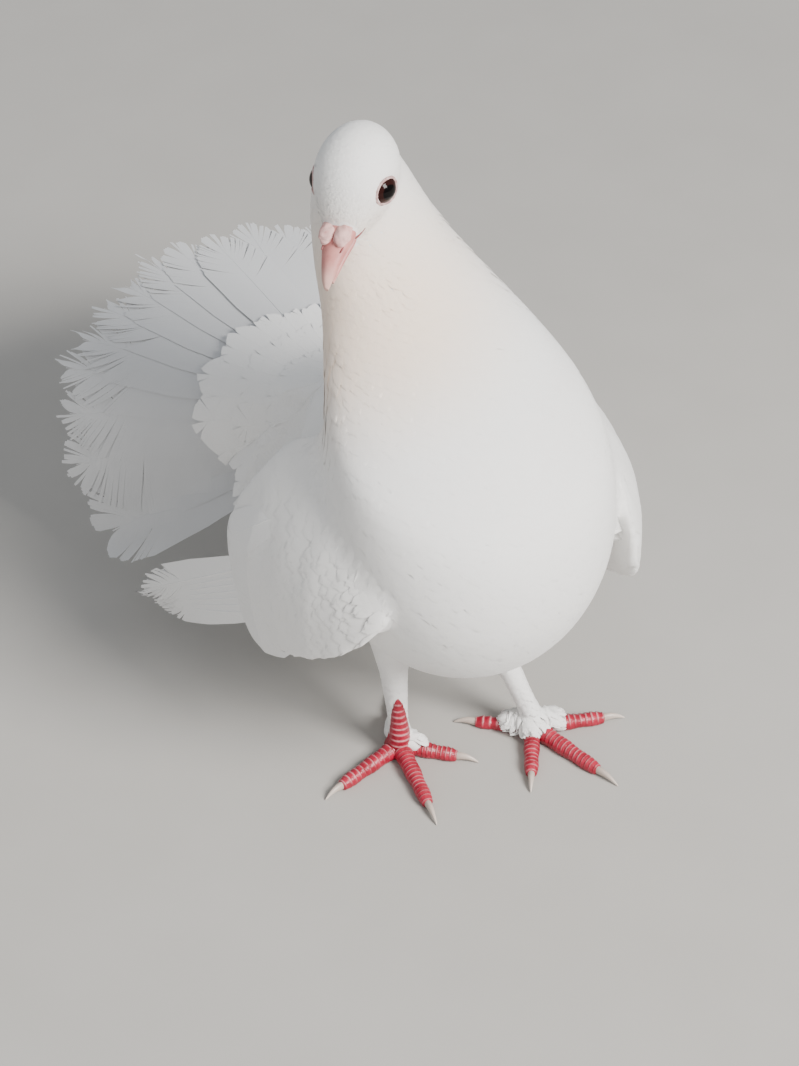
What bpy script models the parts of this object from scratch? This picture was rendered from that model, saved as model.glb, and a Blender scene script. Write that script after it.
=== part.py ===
# A white fantail pigeon, standing and life size: the solid pieces of a museum model.
# Metres, +Z up. The bird faces -Y, so its right side is -X. Its tail is spread behind it like a low umbrella.

import math

import bmesh
import bpy
import numpy as np
from mathutils import Matrix, Vector
from mathutils.bvhtree import BVHTree

mm = 0.001
gap = 0.3 * mm  # left between touching pieces
ring_points = 20

# Named sizes of the bird, in metres
head_turn = math.radians(50)  # to the bird's right
head_bow = math.radians(24)  # forehead to bill, below the horizon
head_roll = math.radians(7.5)  # crown towards the bird's right
eye_line = Vector((-19, 34, 185.2)) * mm  # midway between the eyes
eye_side = 7.7 * mm  # from the middle of the head to an eyeball's centre
eye_radius = 4.6 * mm
lid_radius = 4.25 * mm
lid_thickness = 0.85 * mm
bill_root = 10.5  # mm ahead of the eye line, inside the head
bill_tip = 28.6
tail_root = Vector((0, 66, 77)) * mm
tail_length = 110 * mm
tail_half_count = 8  # tail feathers each side of the middle one
tail_spread = math.radians(58)
tail_fall = math.radians(47)  # how far the outermost feathers roll over, towards the floor
tail_vane_width = 27 * mm
vane_thickness = 0.5 * mm
vane_step = 0.9 * mm  # from one tail feather's surface to the next one's
ankle_height = 7 * mm
stance = Vector((5.4, 10.1, -9.6)) * mm  # from the body's own level, so that the feet are under its weight
foot_spots = {"right": Vector((-21.5, 2.5, 0)) * mm, "left": Vector((17.8, -9.2, 0)) * mm}
hocks = {"right": Vector((-17.5, 16, 38)) * mm, "left": Vector((9.5, 10.5, 38)) * mm}
# Each foot's toes: name, tip on the floor (x, y in mm), how many scutes, thickness at the root in mm
toes = {
    "right": (("middle", (-25.6, -23.2), 8, 2.7), ("outer", (-44.5, -4.5), 6, 2.5),
              ("inner", (-8.2, -9.2), 6, 2.5), ("hind", (-14.5, 19.5), 4, 2.2)),
    "left": (("middle", (26, -34.3), 8, 2.7), ("outer", (39.1, -15.3), 6, 2.5),
             ("inner", (7.7, -26.5), 6, 2.5), ("hind", (4.2, 1.4), 4, 2.2)),
}

white = (0.86, 0.86, 0.84)
red = (0.62, 0.05, 0.09)
horn = (0.62, 0.55, 0.47)
pink = (0.78, 0.50, 0.47)

# The head's own directions
ahead = Vector((
    -math.sin(head_turn) * math.cos(head_bow),
    -math.cos(head_turn) * math.cos(head_bow),
    -math.sin(head_bow),
))
leftward = Vector((math.cos(head_turn), -math.sin(head_turn), 0))
crownward = ahead.cross(leftward)
leftward, crownward = (
    leftward * math.cos(head_roll) + crownward * math.sin(head_roll),
    crownward * math.cos(head_roll) - leftward * math.sin(head_roll),
)


def clear_scene():
    for old in list(bpy.data.objects):
        bpy.data.objects.remove(old, do_unlink=True)


def material(name, colour, roughness=0.8):
    made = bpy.data.materials.get(name)
    if made is None:
        made = bpy.data.materials.new(name)
        made.use_nodes = True
        shader = made.node_tree.nodes["Principled BSDF"]
        shader.inputs["Base Color"].default_value = (*colour, 1)
        shader.inputs["Roughness"].default_value = roughness
    return made


def new_object(name, bm, colour_name, colour):
    """A smooth-shaded object from a bmesh, with its faces turned out."""
    bmesh.ops.remove_doubles(bm, verts=bm.verts, dist=1e-6)
    bmesh.ops.triangulate(bm, faces=[f for f in bm.faces if len(f.verts) > 4])
    bmesh.ops.recalc_face_normals(bm, faces=bm.faces)
    mesh = bpy.data.meshes.new(name)
    bm.to_mesh(mesh)
    bm.free()
    if signed_volume(mesh) < 0:
        mesh.flip_normals()
    mesh.shade_smooth()
    mesh.set_sharp_from_angle(angle=math.radians(40))
    made = bpy.data.objects.new(name, mesh)
    made.data.materials.append(material(colour_name, colour))
    bpy.context.scene.collection.objects.link(made)
    return made


def signed_volume(mesh):
    mesh.calc_loop_triangles()
    points = np.array([v.co for v in mesh.vertices])
    corners = points[[t.vertices[:] for t in mesh.loop_triangles]]
    return float(np.einsum("ij,ij->i", corners[:, 0], np.cross(corners[:, 1], corners[:, 2])).sum())


def loft(rings):
    """A closed bmesh through rings of equal count, capped with a flat fan at each end."""
    bm = bmesh.new()
    loops = [[bm.verts.new(p) for p in ring] for ring in rings]
    count = len(loops[0])
    for a, b in zip(loops, loops[1:]):
        for i in range(count):
            j = (i + 1) % count
            bm.faces.new((a[i], a[j], b[j], b[i]))
    for loop in (loops[0], loops[-1]):
        middle = bm.verts.new(sum((v.co for v in loop), Vector()) / count)
        for i in range(count):
            bm.faces.new((loop[i], loop[(i + 1) % count], middle))
    return bm


def smooth_through(values, t):
    """A Catmull-Rom curve through the values, at t from 0 to their count less one."""
    last = len(values) - 1
    i = min(int(t), last - 1)
    s = t - i
    before, here = values[max(i - 1, 0)], values[i]
    there, after = values[i + 1], values[min(i + 2, last)]
    return (
        here
        + 0.5 * s * (there - before)
        + s * s * (before - 2.5 * here + 2 * there - 0.5 * after)
        + s * s * s * (1.5 * (here - there) + 0.5 * (after - before))
    )


def station(lower, upper, half_width, turn=0.0, side_shift=0.0):
    """One cross-section of the body, from its lowest and highest points (y, z) in the middle plane, in mm."""
    turned = math.radians(turn)
    low = Vector((side_shift, lower[0], lower[1])) * mm
    high = Vector((side_shift, upper[0], upper[1])) * mm
    centre = (low + high) / 2
    rise = (high - low) / 2
    back = rise.y
    rise = Vector((back * math.sin(turned), back * math.cos(turned), rise.z))
    side = Vector((math.cos(turned), -math.sin(turned), 0)) * half_width * mm
    return np.array([centre, rise, side])


def head_station(forward, up, lean, half_height, half_width):
    """A cross-section of the head, in mm from the eye line. lean tips its top towards the nape."""
    lean = math.radians(lean)
    centre = eye_line + (ahead * forward + crownward * up) * mm
    rise = (crownward * math.cos(lean) - ahead * math.sin(lean)) * half_height * mm
    return np.array([centre, rise, leftward * half_width * mm])


# Cross-sections from the tail's root up to the nape, where the neck runs into the head
stations = [
    station((74, 66), (76, 88), 13),
    station((58, 56), (63, 97), 24),
    station((36, 44), (48, 108), 34),
    station((12, 37), (38, 119), 39.5, 0, -0.5),
    station((-12, 38), (36, 127), 42, 0, -1.5),
    station((-31, 51), (36, 132), 43, 0, -2),
    station((-43, 74), (37, 136), 42.5, 0, -2.5),
    station((-42, 100), (40, 141), 40, 0, -3),
    station((-27, 119), (45, 148), 34, 4, -4.5),
    station((-9, 135), (51, 157), 26.5, 12, -7),
    station((8, 149), (56, 168), 20, 24, -10.5),
    station((19, 162), (56, 183), 15, 36, -14),
    station((26, 175), (50, 194), 11.5, 46, -17),
]
# Cross-sections of the head from its back to the bill's root
head_stations = [
    head_station(-17.4, 1.2, 0, 2.5, 2.3),
    head_station(-16.3, 1.0, 0, 6.0, 5.6),
    head_station(-13, 0.7, 0, 9.8, 9.2),
    head_station(-8, 0.5, 0, 12.3, 11.4),
    head_station(-2, 0.2, 0, 13.0, 11.9),
    head_station(4, -0.8, 0, 11.6, 10.6),
    head_station(8.5, -2.2, 0, 9.2, 8.4),
    head_station(12, -3.8, 0, 6.4, 6.2),
    head_station(14, -4.8, 0, 4.2, 4.6),
]
torso_top = 8.0  # where a thin cut parts the torso from the neck
egg = 0.06  # how much wider a section is below its middle than above


def body_ring(t, grow=0.0, shift=0.0, count=ring_points, rows=stations):
    """The points of the section at t, grown outwards, or moved along the body by a thin cut's gap."""
    centre, rise, side = (Vector(v) for v in smooth_through(rows, t))
    normal = side.cross(rise).normalized()
    tall, wide = rise.length + grow, side.length + grow
    up, across = rise.normalized(), side.normalized()
    roundness = egg if rows is stations and t < 10 else 0
    ring = []
    for i in range(count):
        angle = 2 * math.pi * i / count
        lift = math.sin(angle)
        width = wide * (1 - roundness * lift)
        ring.append(centre + across * math.cos(angle) * width + up * lift * tall + normal * shift)
    return ring


def body_loft(start, end, steps, grow=0.0, start_shift=0.0, end_shift=0.0, rows=stations):
    rings = []
    for i in range(steps + 1):
        shift = start_shift if i == 0 else end_shift if i == steps else 0.0
        rings.append(body_ring(start + (end - start) * i / steps, grow, shift, rows=rows))
    return loft(rings)


def body_direction(t):
    """The way the body runs at t, from tail to bill."""
    ahead_of = smooth_through(stations, min(t + 0.1, len(stations) - 1.0))[0]
    behind = smooth_through(stations, max(t - 0.1, 0.0))[0]
    return Vector(ahead_of - behind).normalized()


def cut_sign(t):
    centre, rise, side = (Vector(v) for v in smooth_through(stations, t))
    return 1 if side.cross(rise).dot(body_direction(t)) > 0 else -1


def boolean(target, cutter, operation, solver="EXACT"):
    """Applies a Boolean of one object on another, and removes the second."""
    modifier = target.modifiers.new("boolean", "BOOLEAN")
    modifier.operation = operation
    modifier.solver = solver
    modifier.object = cutter
    apply_modifiers(target)
    bpy.data.objects.remove(cutter, do_unlink=True)


def unite(target, pieces):
    """Joins many closed pieces to a target with one Boolean union, and keeps its largest closed surface."""
    held = bpy.data.collections.new(target.name + "_pieces")
    bpy.context.scene.collection.children.link(held)
    for piece in pieces:
        bpy.context.scene.collection.objects.unlink(piece)
        held.objects.link(piece)
    modifier = target.modifiers.new("union", "BOOLEAN")
    modifier.operation = "UNION"
    modifier.operand_type = "COLLECTION"
    modifier.solver = "EXACT"
    modifier.collection = held
    apply_modifiers(target)
    for piece in pieces:
        bpy.data.objects.remove(piece, do_unlink=True)
    bpy.data.collections.remove(held)
    keep_largest(target)


def apply_modifiers(target):
    bpy.context.view_layer.update()
    graph = bpy.context.evaluated_depsgraph_get()
    mesh = bpy.data.meshes.new_from_object(target.evaluated_get(graph))
    target.modifiers.clear()
    target.data = mesh


def keep_largest(target):
    """Leaves only the largest closed surface of a mesh."""
    bm = bmesh.new()
    bm.from_mesh(target.data)
    islands = []
    unseen = set(bm.verts)
    while unseen:
        stack = [unseen.pop()]
        island = set(stack)
        while stack:
            for edge in stack.pop().link_edges:
                for vert in edge.verts:
                    if vert in unseen:
                        unseen.remove(vert)
                        island.add(vert)
                        stack.append(vert)
        islands.append(island)
    islands.sort(key=len)
    for island in islands[:-1]:
        bmesh.ops.delete(bm, geom=list(island), context="VERTS")
    bm.to_mesh(target.data)
    bm.free()


def plate(front, back):
    """A closed plate between two equal grids of points, front[row][column] over back."""
    bm = bmesh.new()
    faces = [[[bm.verts.new(p) for p in row] for row in grid] for grid in (front, back)]
    rows, columns = len(front), len(front[0])
    for grid, flip in zip(faces, (False, True)):
        for i in range(rows - 1):
            for j in range(columns - 1):
                a, b, c, d = grid[i][j], grid[i][j + 1], grid[i + 1][j + 1], grid[i + 1][j]
                for corners in ((a, b, c), (a, c, d)):
                    bm.faces.new(corners[::-1] if flip else corners)
    rim = [(0, j) for j in range(columns)]
    rim += [(i, columns - 1) for i in range(1, rows)]
    rim += [(rows - 1, j) for j in range(columns - 2, -1, -1)]
    rim += [(i, 0) for i in range(rows - 2, 0, -1)]
    for (i, j), (k, m) in zip(rim, rim[1:] + rim[:1]):
        a, b = faces[0][i][j], faces[0][k][m]
        c, d = faces[1][k][m], faces[1][i][j]
        bm.faces.new((a, d, c))
        bm.faces.new((a, c, b))
    return bm


# A flight feather's outline: how far along it, and its half width there as a share of the widest
vane_outline = ((0.0, 0.30), (0.30, 0.60), (0.62, 1.0), (0.86, 0.92), (0.96, 0.56), (1.0, 0.16))


def feather_way(angle):
    """The way a tail feather points, from its angle off straight back towards the bird's left."""
    share = min(abs(angle) / tail_spread, 1)
    roll = tail_fall * (0.35 * share**2 + 0.65 * share**4)
    out = math.copysign(1, angle)
    return Vector((
        out * math.sin(abs(angle)) * math.cos(roll),
        math.cos(angle),
        -math.sin(abs(angle)) * math.sin(roll),
    ))


def feather_frame(angle):
    """A tail feather's own directions: the way it points, across it and up off its surface."""
    way = feather_way(angle)
    across = (feather_way(angle + 0.02) - feather_way(angle - 0.02)).normalized()
    return way, across, across.cross(way).normalized()


def fan_vane(name, angle, start, length, width, depth):
    """One tail feather, a long plate that follows the fan, depth below its top surface."""
    front, back = [], []
    for along, share in vane_outline:
        reach = start + (length - start) * along
        rows = ([], [])
        for side in (-1, -0.5, 0, 0.5, 1):
            turned = angle + 0.5 * side * width * share / reach
            way, across, up = feather_frame(turned)
            fall = (5 + 2.5 * math.cos(1.5 * turned) ** 2) * mm
            sag = fall * (reach / tail_length) ** 2 - 4 * mm * reach / tail_length
            sunk = depth * min(0.55 + 1.5 * along, 1) + 0.3 * mm * abs(side) * share
            top = tail_root + way * reach - up * sunk - Vector((0, 0, sag))
            rows[0].append(top)
            rows[1].append(top - up * vane_thickness)
        front.append(rows[0])
        back.append(rows[1])
    return new_object(name, plate(front, back), "feather", white)


def tail_ranks():
    """Each tail feather's place, from the bird's right to its left, and how many steps below the middle one it lies."""
    for place in range(-tail_half_count, tail_half_count + 1):
        rank = abs(place) + (1 if abs(place) > 1 or place < 0 else 0)
        yield place, 0 if place == 0 else rank


def make_tail():
    direction = body_direction(0.0)
    end = body_ring(0.0, shift=-cut_sign(0.0) * gap)
    rings = [end]
    for back, wide, tall, drop in ((12, 15, 9.8, 1.5), (18, 18, 9.5, 3.5), (26, 19, 8, 5), (34, 16, 5.2, 4.5), (41, 11, 2.4, 3.5)):
        centre = tail_root + Vector((0, back, -drop)) * mm
        rings.append([
            centre + Vector((math.cos(a) * wide, 0, math.sin(a) * tall)) * mm
            for a in (2 * math.pi * i / ring_points for i in range(ring_points))
        ])
    tail = new_object("tail", loft(rings), "feather", white)
    vanes = []
    for place, rank in tail_ranks():
        angle = tail_spread * place / tail_half_count
        length = tail_length * (1 - 0.06 * (abs(place) / tail_half_count) ** 2)
        start = 12 * mm / math.cos(angle)
        vanes.append(fan_vane(f"tail_vane_{place}", angle, start, length, tail_vane_width, rank * vane_step))
    unite(tail, vanes)
    return tail


def make_flesh():
    """The torso, neck and head, parted by thin cuts."""
    forward = cut_sign(torso_top)
    last = len(head_stations) - 1.0
    new_object("torso", body_loft(0.0, torso_top, 16), "feather", white)
    neck = body_loft(torso_top, len(stations) - 1.0, 10, start_shift=forward * gap)
    neck = new_object("neck", neck, "feather", white)
    grown = new_object("cutter", body_loft(0, last, 13, grow=gap, rows=head_stations), "feather", white)
    boolean(neck, grown, "DIFFERENCE")
    keep_largest(neck)
    new_object("head", body_loft(0, last, 13, rows=head_stations), "feather", white)


def ball(name, centre, radii, axes, rings=8, around=12):
    """A closed ellipsoid with its radii along three axes."""
    bm = bmesh.new()
    bmesh.ops.create_uvsphere(bm, u_segments=around, v_segments=rings, radius=1)
    for vert in bm.verts:
        x, y, z = vert.co
        vert.co = centre + axes[0] * x * radii[0] + axes[1] * y * radii[1] + axes[2] * z * radii[2]
    return new_object(name, bm, "feather", white)


def head_point(forward, left, up):
    """A place on the head, in mm from the eye line along the head's own directions."""
    return eye_line + (ahead * forward + leftward * left + crownward * up) * mm


def eye_frame(side):
    """The eyeball's centre and the way it looks, 1 for the left eye and -1 for the right."""
    look = (leftward * side + ahead * 0.36 + crownward * 0.16).normalized()
    return head_point(0, 0, 0) + leftward * side * eye_side, look


def ring_about(centre, normal, major, minor, around=16, section=6):
    """A closed ring lying square to the normal."""
    first = normal.orthogonal().normalized()
    second = normal.cross(first)
    bm = bmesh.new()
    loops = []
    for i in range(around):
        angle = 2 * math.pi * i / around
        out = first * math.cos(angle) + second * math.sin(angle)
        loops.append([
            bm.verts.new(centre + out * (major + minor * math.cos(b)) + normal * minor * math.sin(b))
            for b in (2 * math.pi * j / section for j in range(section))
        ])
    for i in range(around):
        a, b = loops[i], loops[(i + 1) % around]
        for j in range(section):
            k = (j + 1) % section
            bm.faces.new((a[j], a[k], b[k], b[j]))
    return new_object("lid", bm, "feather", white)


def bill_half(name, rows, grow=0.0):
    """Half the bill, from rows of (forward, middle height, half width, half height) in mm."""
    rings = []
    for forward, up, half_width, half_height in rows:
        ring = []
        for i in range(14):
            angle = 2 * math.pi * i / 14
            wide, tall = half_width + grow / mm, half_height + grow / mm
            lift = math.sin(angle)
            ring.append(head_point(forward, math.cos(angle) * wide, up + lift * tall))
        rings.append(ring)
    return new_object(name, loft(rings), "bill", pink)


upper_rows = (
    (bill_root, -3.4, 3.6, 2.6), (13, -3.8, 4.8, 3.2), (15.5, -4.3, 4.6, 3.0), (18.5, -5.0, 3.7, 2.5),
    (22, -6.0, 2.8, 2.0), (25, -7.1, 2.0, 1.65), (27.2, -8.3, 1.35, 1.4), (bill_tip, -9.6, 0.6, 0.9),
)
lower_rows = (
    (bill_root, -7.8, 3.4, 1.4), (13.5, -8.3, 4.0, 1.4), (17, -8.8, 3.2, 1.25), (20.5, -9.4, 2.4, 1.1),
    (23.6, -10.2, 1.7, 0.85), (25.6, -11.0, 0.9, 0.6),
)


def make_face(head):
    """The bill, the eyes and the lids, and their seats in the head."""
    grown = [bill_half("cutter_upper", upper_rows, gap), bill_half("cutter_lower", lower_rows, gap)]
    upper = bill_half("bill_upper", upper_rows)
    lower = bill_half("bill_lower", lower_rows)
    boolean(lower, bill_half("cutter_mouth", upper_rows, gap), "DIFFERENCE")
    axes = (ahead, leftward, crownward)
    lobes = []
    for side in (1, -1):
        place = head_point(15.2, side * 2.3, -2.0)
        lobes.append(ball("cere", place, (3.6 * mm, 2.3 * mm, 1.7 * mm), axes))
    unite(upper, lobes)
    for side in (1, -1):
        nostril = ball("cutter", head_point(18.4, side * 3.0, -3.9), (1.8 * mm, 0.5 * mm, 0.35 * mm), axes, 6, 8)
        boolean(upper, nostril, "DIFFERENCE")
    for piece in grown:
        boolean(head, piece, "DIFFERENCE")
    neck = bpy.data.objects["neck"]
    boolean(neck, bill_half("cutter_lower", lower_rows, gap), "DIFFERENCE")
    keep_largest(neck)
    lids = []
    for name, side in (("eye_left", 1), ("eye_right", -1)):
        centre, look = eye_frame(side)
        across = look.orthogonal().normalized()
        axes = (across, look.cross(across), look)
        lids.append(ring_about(centre + look * 2.9 * mm, look, lid_radius, lid_thickness))
        eyeball = ball(name, centre, (eye_radius,) * 3, axes, 8, 14)
        eyeball.data.materials.clear()
        eyeball.data.materials.append(material("eye", (0.05, 0.02, 0.015), 0.2))
    unite(head, lids)
    for side in (1, -1):
        centre, look = eye_frame(side)
        across = look.orthogonal().normalized()
        axes = (across, look.cross(across), look)
        boolean(head, ball("cutter", centre, (eye_radius + gap,) * 3, axes, 8, 16), "DIFFERENCE")
        boolean(neck, ball("cutter", centre, (6.2 * mm,) * 3, axes, 8, 16), "DIFFERENCE")
        keep_largest(neck)
    keep_largest(head)
    lobes = [
        ball("cutter", head_point(15.2, side * 2.3, -2.0), (3.9 * mm, 2.6 * mm, 2.0 * mm), (ahead, leftward, crownward))
        for side in (1, -1)
    ]
    for lobe in lobes:
        boolean(head, lobe, "DIFFERENCE")
    keep_largest(head)


# The wing's outer surface: how far from the bird's middle it lies at each y, and its edges there, all in mm
wing_rows = (
    # y, widest, lower edge, upper edge, thickness
    (-25, 42.5, 78, 88, 2), (-21, 46.0, 70, 96, 7), (-13, 51.0, 61, 106, 13), (-3, 55.5, 54, 113, 16),
    (10, 58.3, 47, 117, 18), (25, 59.3, 39, 115, 17), (40, 57.0, 30, 108, 13), (54, 51.5, 26, 96, 10),
    (66, 46.0, 26, 84, 7.5), (76, 41.0, 29, 73, 5), (84, 37.5, 33, 62, 2),
)
wing_droop = {1: 9.0, -1: 0.0}  # how much lower the front of the left wing is carried, in mm
wing_middle = 70.0
vane_tilt = 0.75  # how much lower a wing feather's upper edge lies than its middle, in mm
rim_height = 1.4 * mm  # how far the wing's rim stands off the body


def wing_row(y):
    rows = np.array(wing_rows, float)
    y = min(max(y, rows[0, 0]), rows[-1, 0])
    return [float(np.interp(y, rows[:, 0], rows[:, k])) for k in range(1, 5)]


def wing_outer(y, z):
    """The wing's distance from the middle plane, in mm, at a height and a depth along the body."""
    widest = wing_row(y)[0]
    above, below = max(z - wing_middle, 0), max(wing_middle - z, 0)
    return widest - 0.0104 * above**2 - 0.0044 * below**2


def wing_point(side, y, z, lift):
    """A point raised off the wing's outer surface, side 1 for the left wing and -1 for the right."""
    out = wing_outer(y, z)
    slope_y = wing_outer(y + 1, z) - wing_outer(y - 1, z)
    slope_z = wing_outer(y, z + 1) - wing_outer(y, z - 1)
    normal = Vector((1, -slope_y / 2, -slope_z / 2)).normalized()
    point = Vector((out, y, z)) + normal * lift
    return Vector((side * point.x, point.y, point.z)) * mm


def wing_core(name, side):
    """The wing without its flight feathers. Its rim stands clear of the body all round."""
    torso = bpy.data.objects["torso"].data
    flank = BVHTree.FromPolygons([v.co for v in torso.vertices], [p.vertices for p in torso.polygons])
    front, back = [], []
    for y, widest, low, high, thick in wing_rows:
        low -= wing_droop[side] * min(max((60 - y) / 40, 0), 1)
        rows = ([], [])
        for j in range(9):
            share = -math.cos(math.pi * j / 8)
            z = (low + high) / 2 + (high - low) / 2 * share
            depth = 0.8 + (thick - 0.8) * math.sqrt(max(1 - share * share, 0))
            outer, inner = wing_point(side, y, z, 0), wing_point(side, y, z, -depth)
            met = flank.ray_cast(Vector((side * 0.1, outer.y, outer.z)), Vector((-side, 0, 0)))[0]
            if met is not None and (outer.x - met.x) * side < rim_height:
                outer.x = met.x + side * rim_height
                inner.x = met.x - side * rim_height
            rows[0].append(outer)
            rows[1].append(inner)
        front.append(rows[0])
        back.append(rows[1])
    return new_object(name, plate(front, back), "feather", white)


def wing_vane(side, root, tip, width, lifts):
    """A feather lying along the wing from a root to a tip, each (y, z) in mm, its upper edge under the next one."""
    run = Vector(tip) - Vector(root)
    across = Vector((-run.y, run.x)).normalized()
    if across.y < 0:
        across.negate()
    front, back = [], []
    for along, share, lift in zip((0, 0.25, 0.6, 0.87, 1.0), (0.85, 1.0, 1.0, 0.92, 0.5), lifts):
        centre = Vector(root) + run * along
        rows = ([], [])
        for place in (-1, 0, 1):
            spot = centre + across * place * width * 0.5 * share
            height = lift - vane_tilt * place * share * min(4 * along, 1)
            rows[0].append(wing_point(side, spot.x, spot.y, height))
            rows[1].append(wing_point(side, spot.x, spot.y, height - 0.6))
        front.append(rows[0])
        back.append(rows[1])
    return new_object("vane", plate(front, back), "feather", white)


def primary(side, root, tip, width):
    """A long feather of the wing's tip, straight from a root to a tip (x, y, z) in mm, standing on edge."""
    root, tip = (Vector((side * p[0], p[1], p[2])) * mm for p in (root, tip))
    run = (tip - root).normalized()
    out = Vector((side, 0, 0))
    across = run.cross(out).normalized()
    out = across.cross(run).normalized()
    if out.x * side < 0:
        out.negate()
    front, back = [], []
    for along, share in ((0, 0.35), (0.35, 0.75), (0.65, 1.0), (0.9, 0.8), (1.0, 0.25)):
        bow = 2.5 * mm * math.sin(math.pi * along)
        centre = root + (tip - root) * along + out * bow
        rows = ([], [])
        for place in (-1, 0, 1):
            spot = centre + across * place * width * 0.5 * share * mm - out * abs(place) * 0.5 * mm * share
            rows[0].append(spot)
            rows[1].append(spot - out * vane_thickness)
        front.append(rows[0])
        back.append(rows[1])
    return new_object("vane", plate(front, back), "feather", white)


def mixed(a, b, share):
    return tuple(p + (q - p) * share for p, q in zip(a, b))


def make_wing(name, side):
    """The wing's core, and on it the flight feathers and great coverts in three tiers."""
    wing = wing_core(name, side)
    vanes = []
    for i in range(6):
        share = i / 5
        root = mixed((46.5, 34, 41), (43.0, 37, 58), share)
        tip = mixed((59.5, 87, 10), (62.5, 95, 11), share)
        vanes.append(primary(side, root, tip, 11 + 3 * share))
    for i in range(7):
        share = i / 6
        flare = max(1 - 1.6 * share, 0)
        root = mixed((34, 42), (36, 88), share)
        tip = mixed((80, 27), (84, 62), share)
        lifts = (-2.0, 0.4, 0.9 + 1.5 * flare, 1.0 + 5.0 * flare, 1.1 + 7.0 * flare)
        vanes.append(wing_vane(side, root, tip, 13.5, lifts))
    for i in range(7):
        share = i / 6
        root = mixed((8, 49), (14, 102), share)
        tip = mixed((50, 33), (56, 88), share)
        flare = max(1 - 2 * share, 0)
        lifts = (-2.0, 0.5, 1.4, 2.1 + 0.9 * flare, 2.4 + 1.5 * flare)
        vanes.append(wing_vane(side, root, tip, 13.5, lifts))
    unite(wing, vanes)
    return wing


def leg_rings(side, grow=0.0):
    """Rings up a leg from the ankle to the hock and on into the thigh, inside the body."""
    hock = hocks[side]
    start = foot_spots[side] + stance + Vector((0, 0, ankle_height))
    knee = Vector((hock.x * 0.9, hock.y - 7 * mm, 66 * mm))
    rings = []
    rows = ((0.0, 3.4), (0.3, 3.9), (0.6, 4.8), (0.85, 6.6), (1.05, 8.6), (1.3, 10.6), (1.65, 12), (2.0, 11))
    for share, radius in rows:
        if share <= 1:
            centre = start + (hock - start) * share
        else:
            centre = hock + (knee - hock) * (share - 1)
        ring = []
        for i in range(12):
            angle = 2 * math.pi * i / 12
            reach = radius * mm + grow
            ring.append(centre + Vector((math.cos(angle) * reach, math.sin(angle) * reach * 1.1, 0)))
        rings.append(ring)
    return rings


def toe_rings(start, tip, scutes, thick, end_radius):
    """Rings along a toe on the floor, each scute rising steeply and sloping away, with a flat sole."""
    run = tip - start
    length = run.length
    way = run.normalized()
    side = Vector((-way.y, way.x, 0))
    rings = []
    shares = [0.0]
    raised = [0.0]
    for i in range(scutes):
        begin = 0.12 + 0.86 * i / scutes
        shares += [begin, begin + 0.03]
        raised += [0.0, 0.36]
    shares.append(1.0)
    raised.append(0.0)
    for share, lift in zip(shares, raised):
        pad = 0.22 * math.sin(share * math.pi * 3) ** 2
        radius = thick + (end_radius - thick) * share + pad
        high = radius * 0.86
        ring = []
        for i in range(10):
            angle = 2 * math.pi * i / 10
            top = max(math.sin(angle), 0)
            reach = radius + lift * (0.35 + 0.65 * top)
            point = start + way * length * share + side * math.cos(angle) * reach * mm
            point.z = max((high + math.sin(angle) * reach) * mm, 0)
            ring.append(point)
        rings.append(ring)
    return rings


def make_claw(name, start, way, radius, length):
    """A curved claw running on from the end of a toe, down to the floor."""
    side = Vector((-way.y, way.x, 0))
    rings = []
    low = 0.22 * radius
    for share, size in ((0, 1), (0.25, 0.86), (0.5, 0.66), (0.75, 0.42), (0.93, 0.2)):
        centre = start + way * length * share
        centre.z += (low - start.z) * share**1.5 + 0.5 * mm * math.sin(math.pi * share)
        tilt = math.radians(10 - 50 * share)
        up = Vector((0, 0, 1)) * math.cos(tilt) - way * math.sin(tilt)
        ring = []
        for i in range(8):
            angle = 2 * math.pi * i / 8
            ring.append(centre + (side * math.cos(angle) * 0.8 + up * math.sin(angle)) * size * radius)
        rings.append(ring)
    for ring in rings:
        for point in ring:
            point.z = max(point.z, 0)
    claw = new_object(name, loft(rings), "claw", horn)
    claw.data.transform(Matrix.Translation(stance))


def make_foot(side):
    """A foot with four toes, its claws and the feathered leg above it."""
    spot = foot_spots[side]
    ankle = [
        [spot + Vector((math.cos(a) * r, math.sin(a) * r * 1.1, z)) * 1 for a in
         (2 * math.pi * i / 12 for i in range(12))]
        for z, r in ((0, 4.2 * mm), (2.5 * mm, 4.4 * mm), (4.6 * mm, 3.6 * mm), (ankle_height - gap, 3.0 * mm))
    ]
    foot = new_object("foot_" + side, loft(ankle), "toe_skin", red)
    pieces = []
    for toe, tip, scutes, thick in toes[side]:
        tip = Vector((*tip, 0)) * mm
        end_radius = 1.75 if toe != "hind" else 1.6
        way = (tip - spot).normalized()
        pieces.append(new_object("toe", loft(toe_rings(spot, tip, scutes, thick, end_radius)), "toe_skin", red))
        start = tip + way * gap + Vector((0, 0, end_radius * 0.95)) * mm
        claw_length = 8.0 if toe == "middle" else 6.5
        make_claw(f"claw_{side}_{toe}", start, way, 1.35 * mm, claw_length * mm)
    unite(foot, pieces)
    foot.data.transform(Matrix.Translation(stance))
    leg = new_object("leg_" + side, loft(leg_rings(side)), "feather", white)
    grown = new_object("cutter", body_loft(0.0, torso_top, 16, grow=gap), "feather", white)
    boolean(leg, grown, "DIFFERENCE")
    keep_lowest(leg)


def keep_lowest(target):
    """Leaves only the closed surface that reaches lowest."""
    bm = bmesh.new()
    bm.from_mesh(target.data)
    lowest = min(bm.verts, key=lambda v: v.co.z)
    kept, stack = {lowest}, [lowest]
    while stack:
        for edge in stack.pop().link_edges:
            for vert in edge.verts:
                if vert not in kept:
                    kept.add(vert)
                    stack.append(vert)
    bmesh.ops.delete(bm, geom=[v for v in bm.verts if v not in kept], context="VERTS")
    bm.to_mesh(target.data)
    bm.free()


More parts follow.
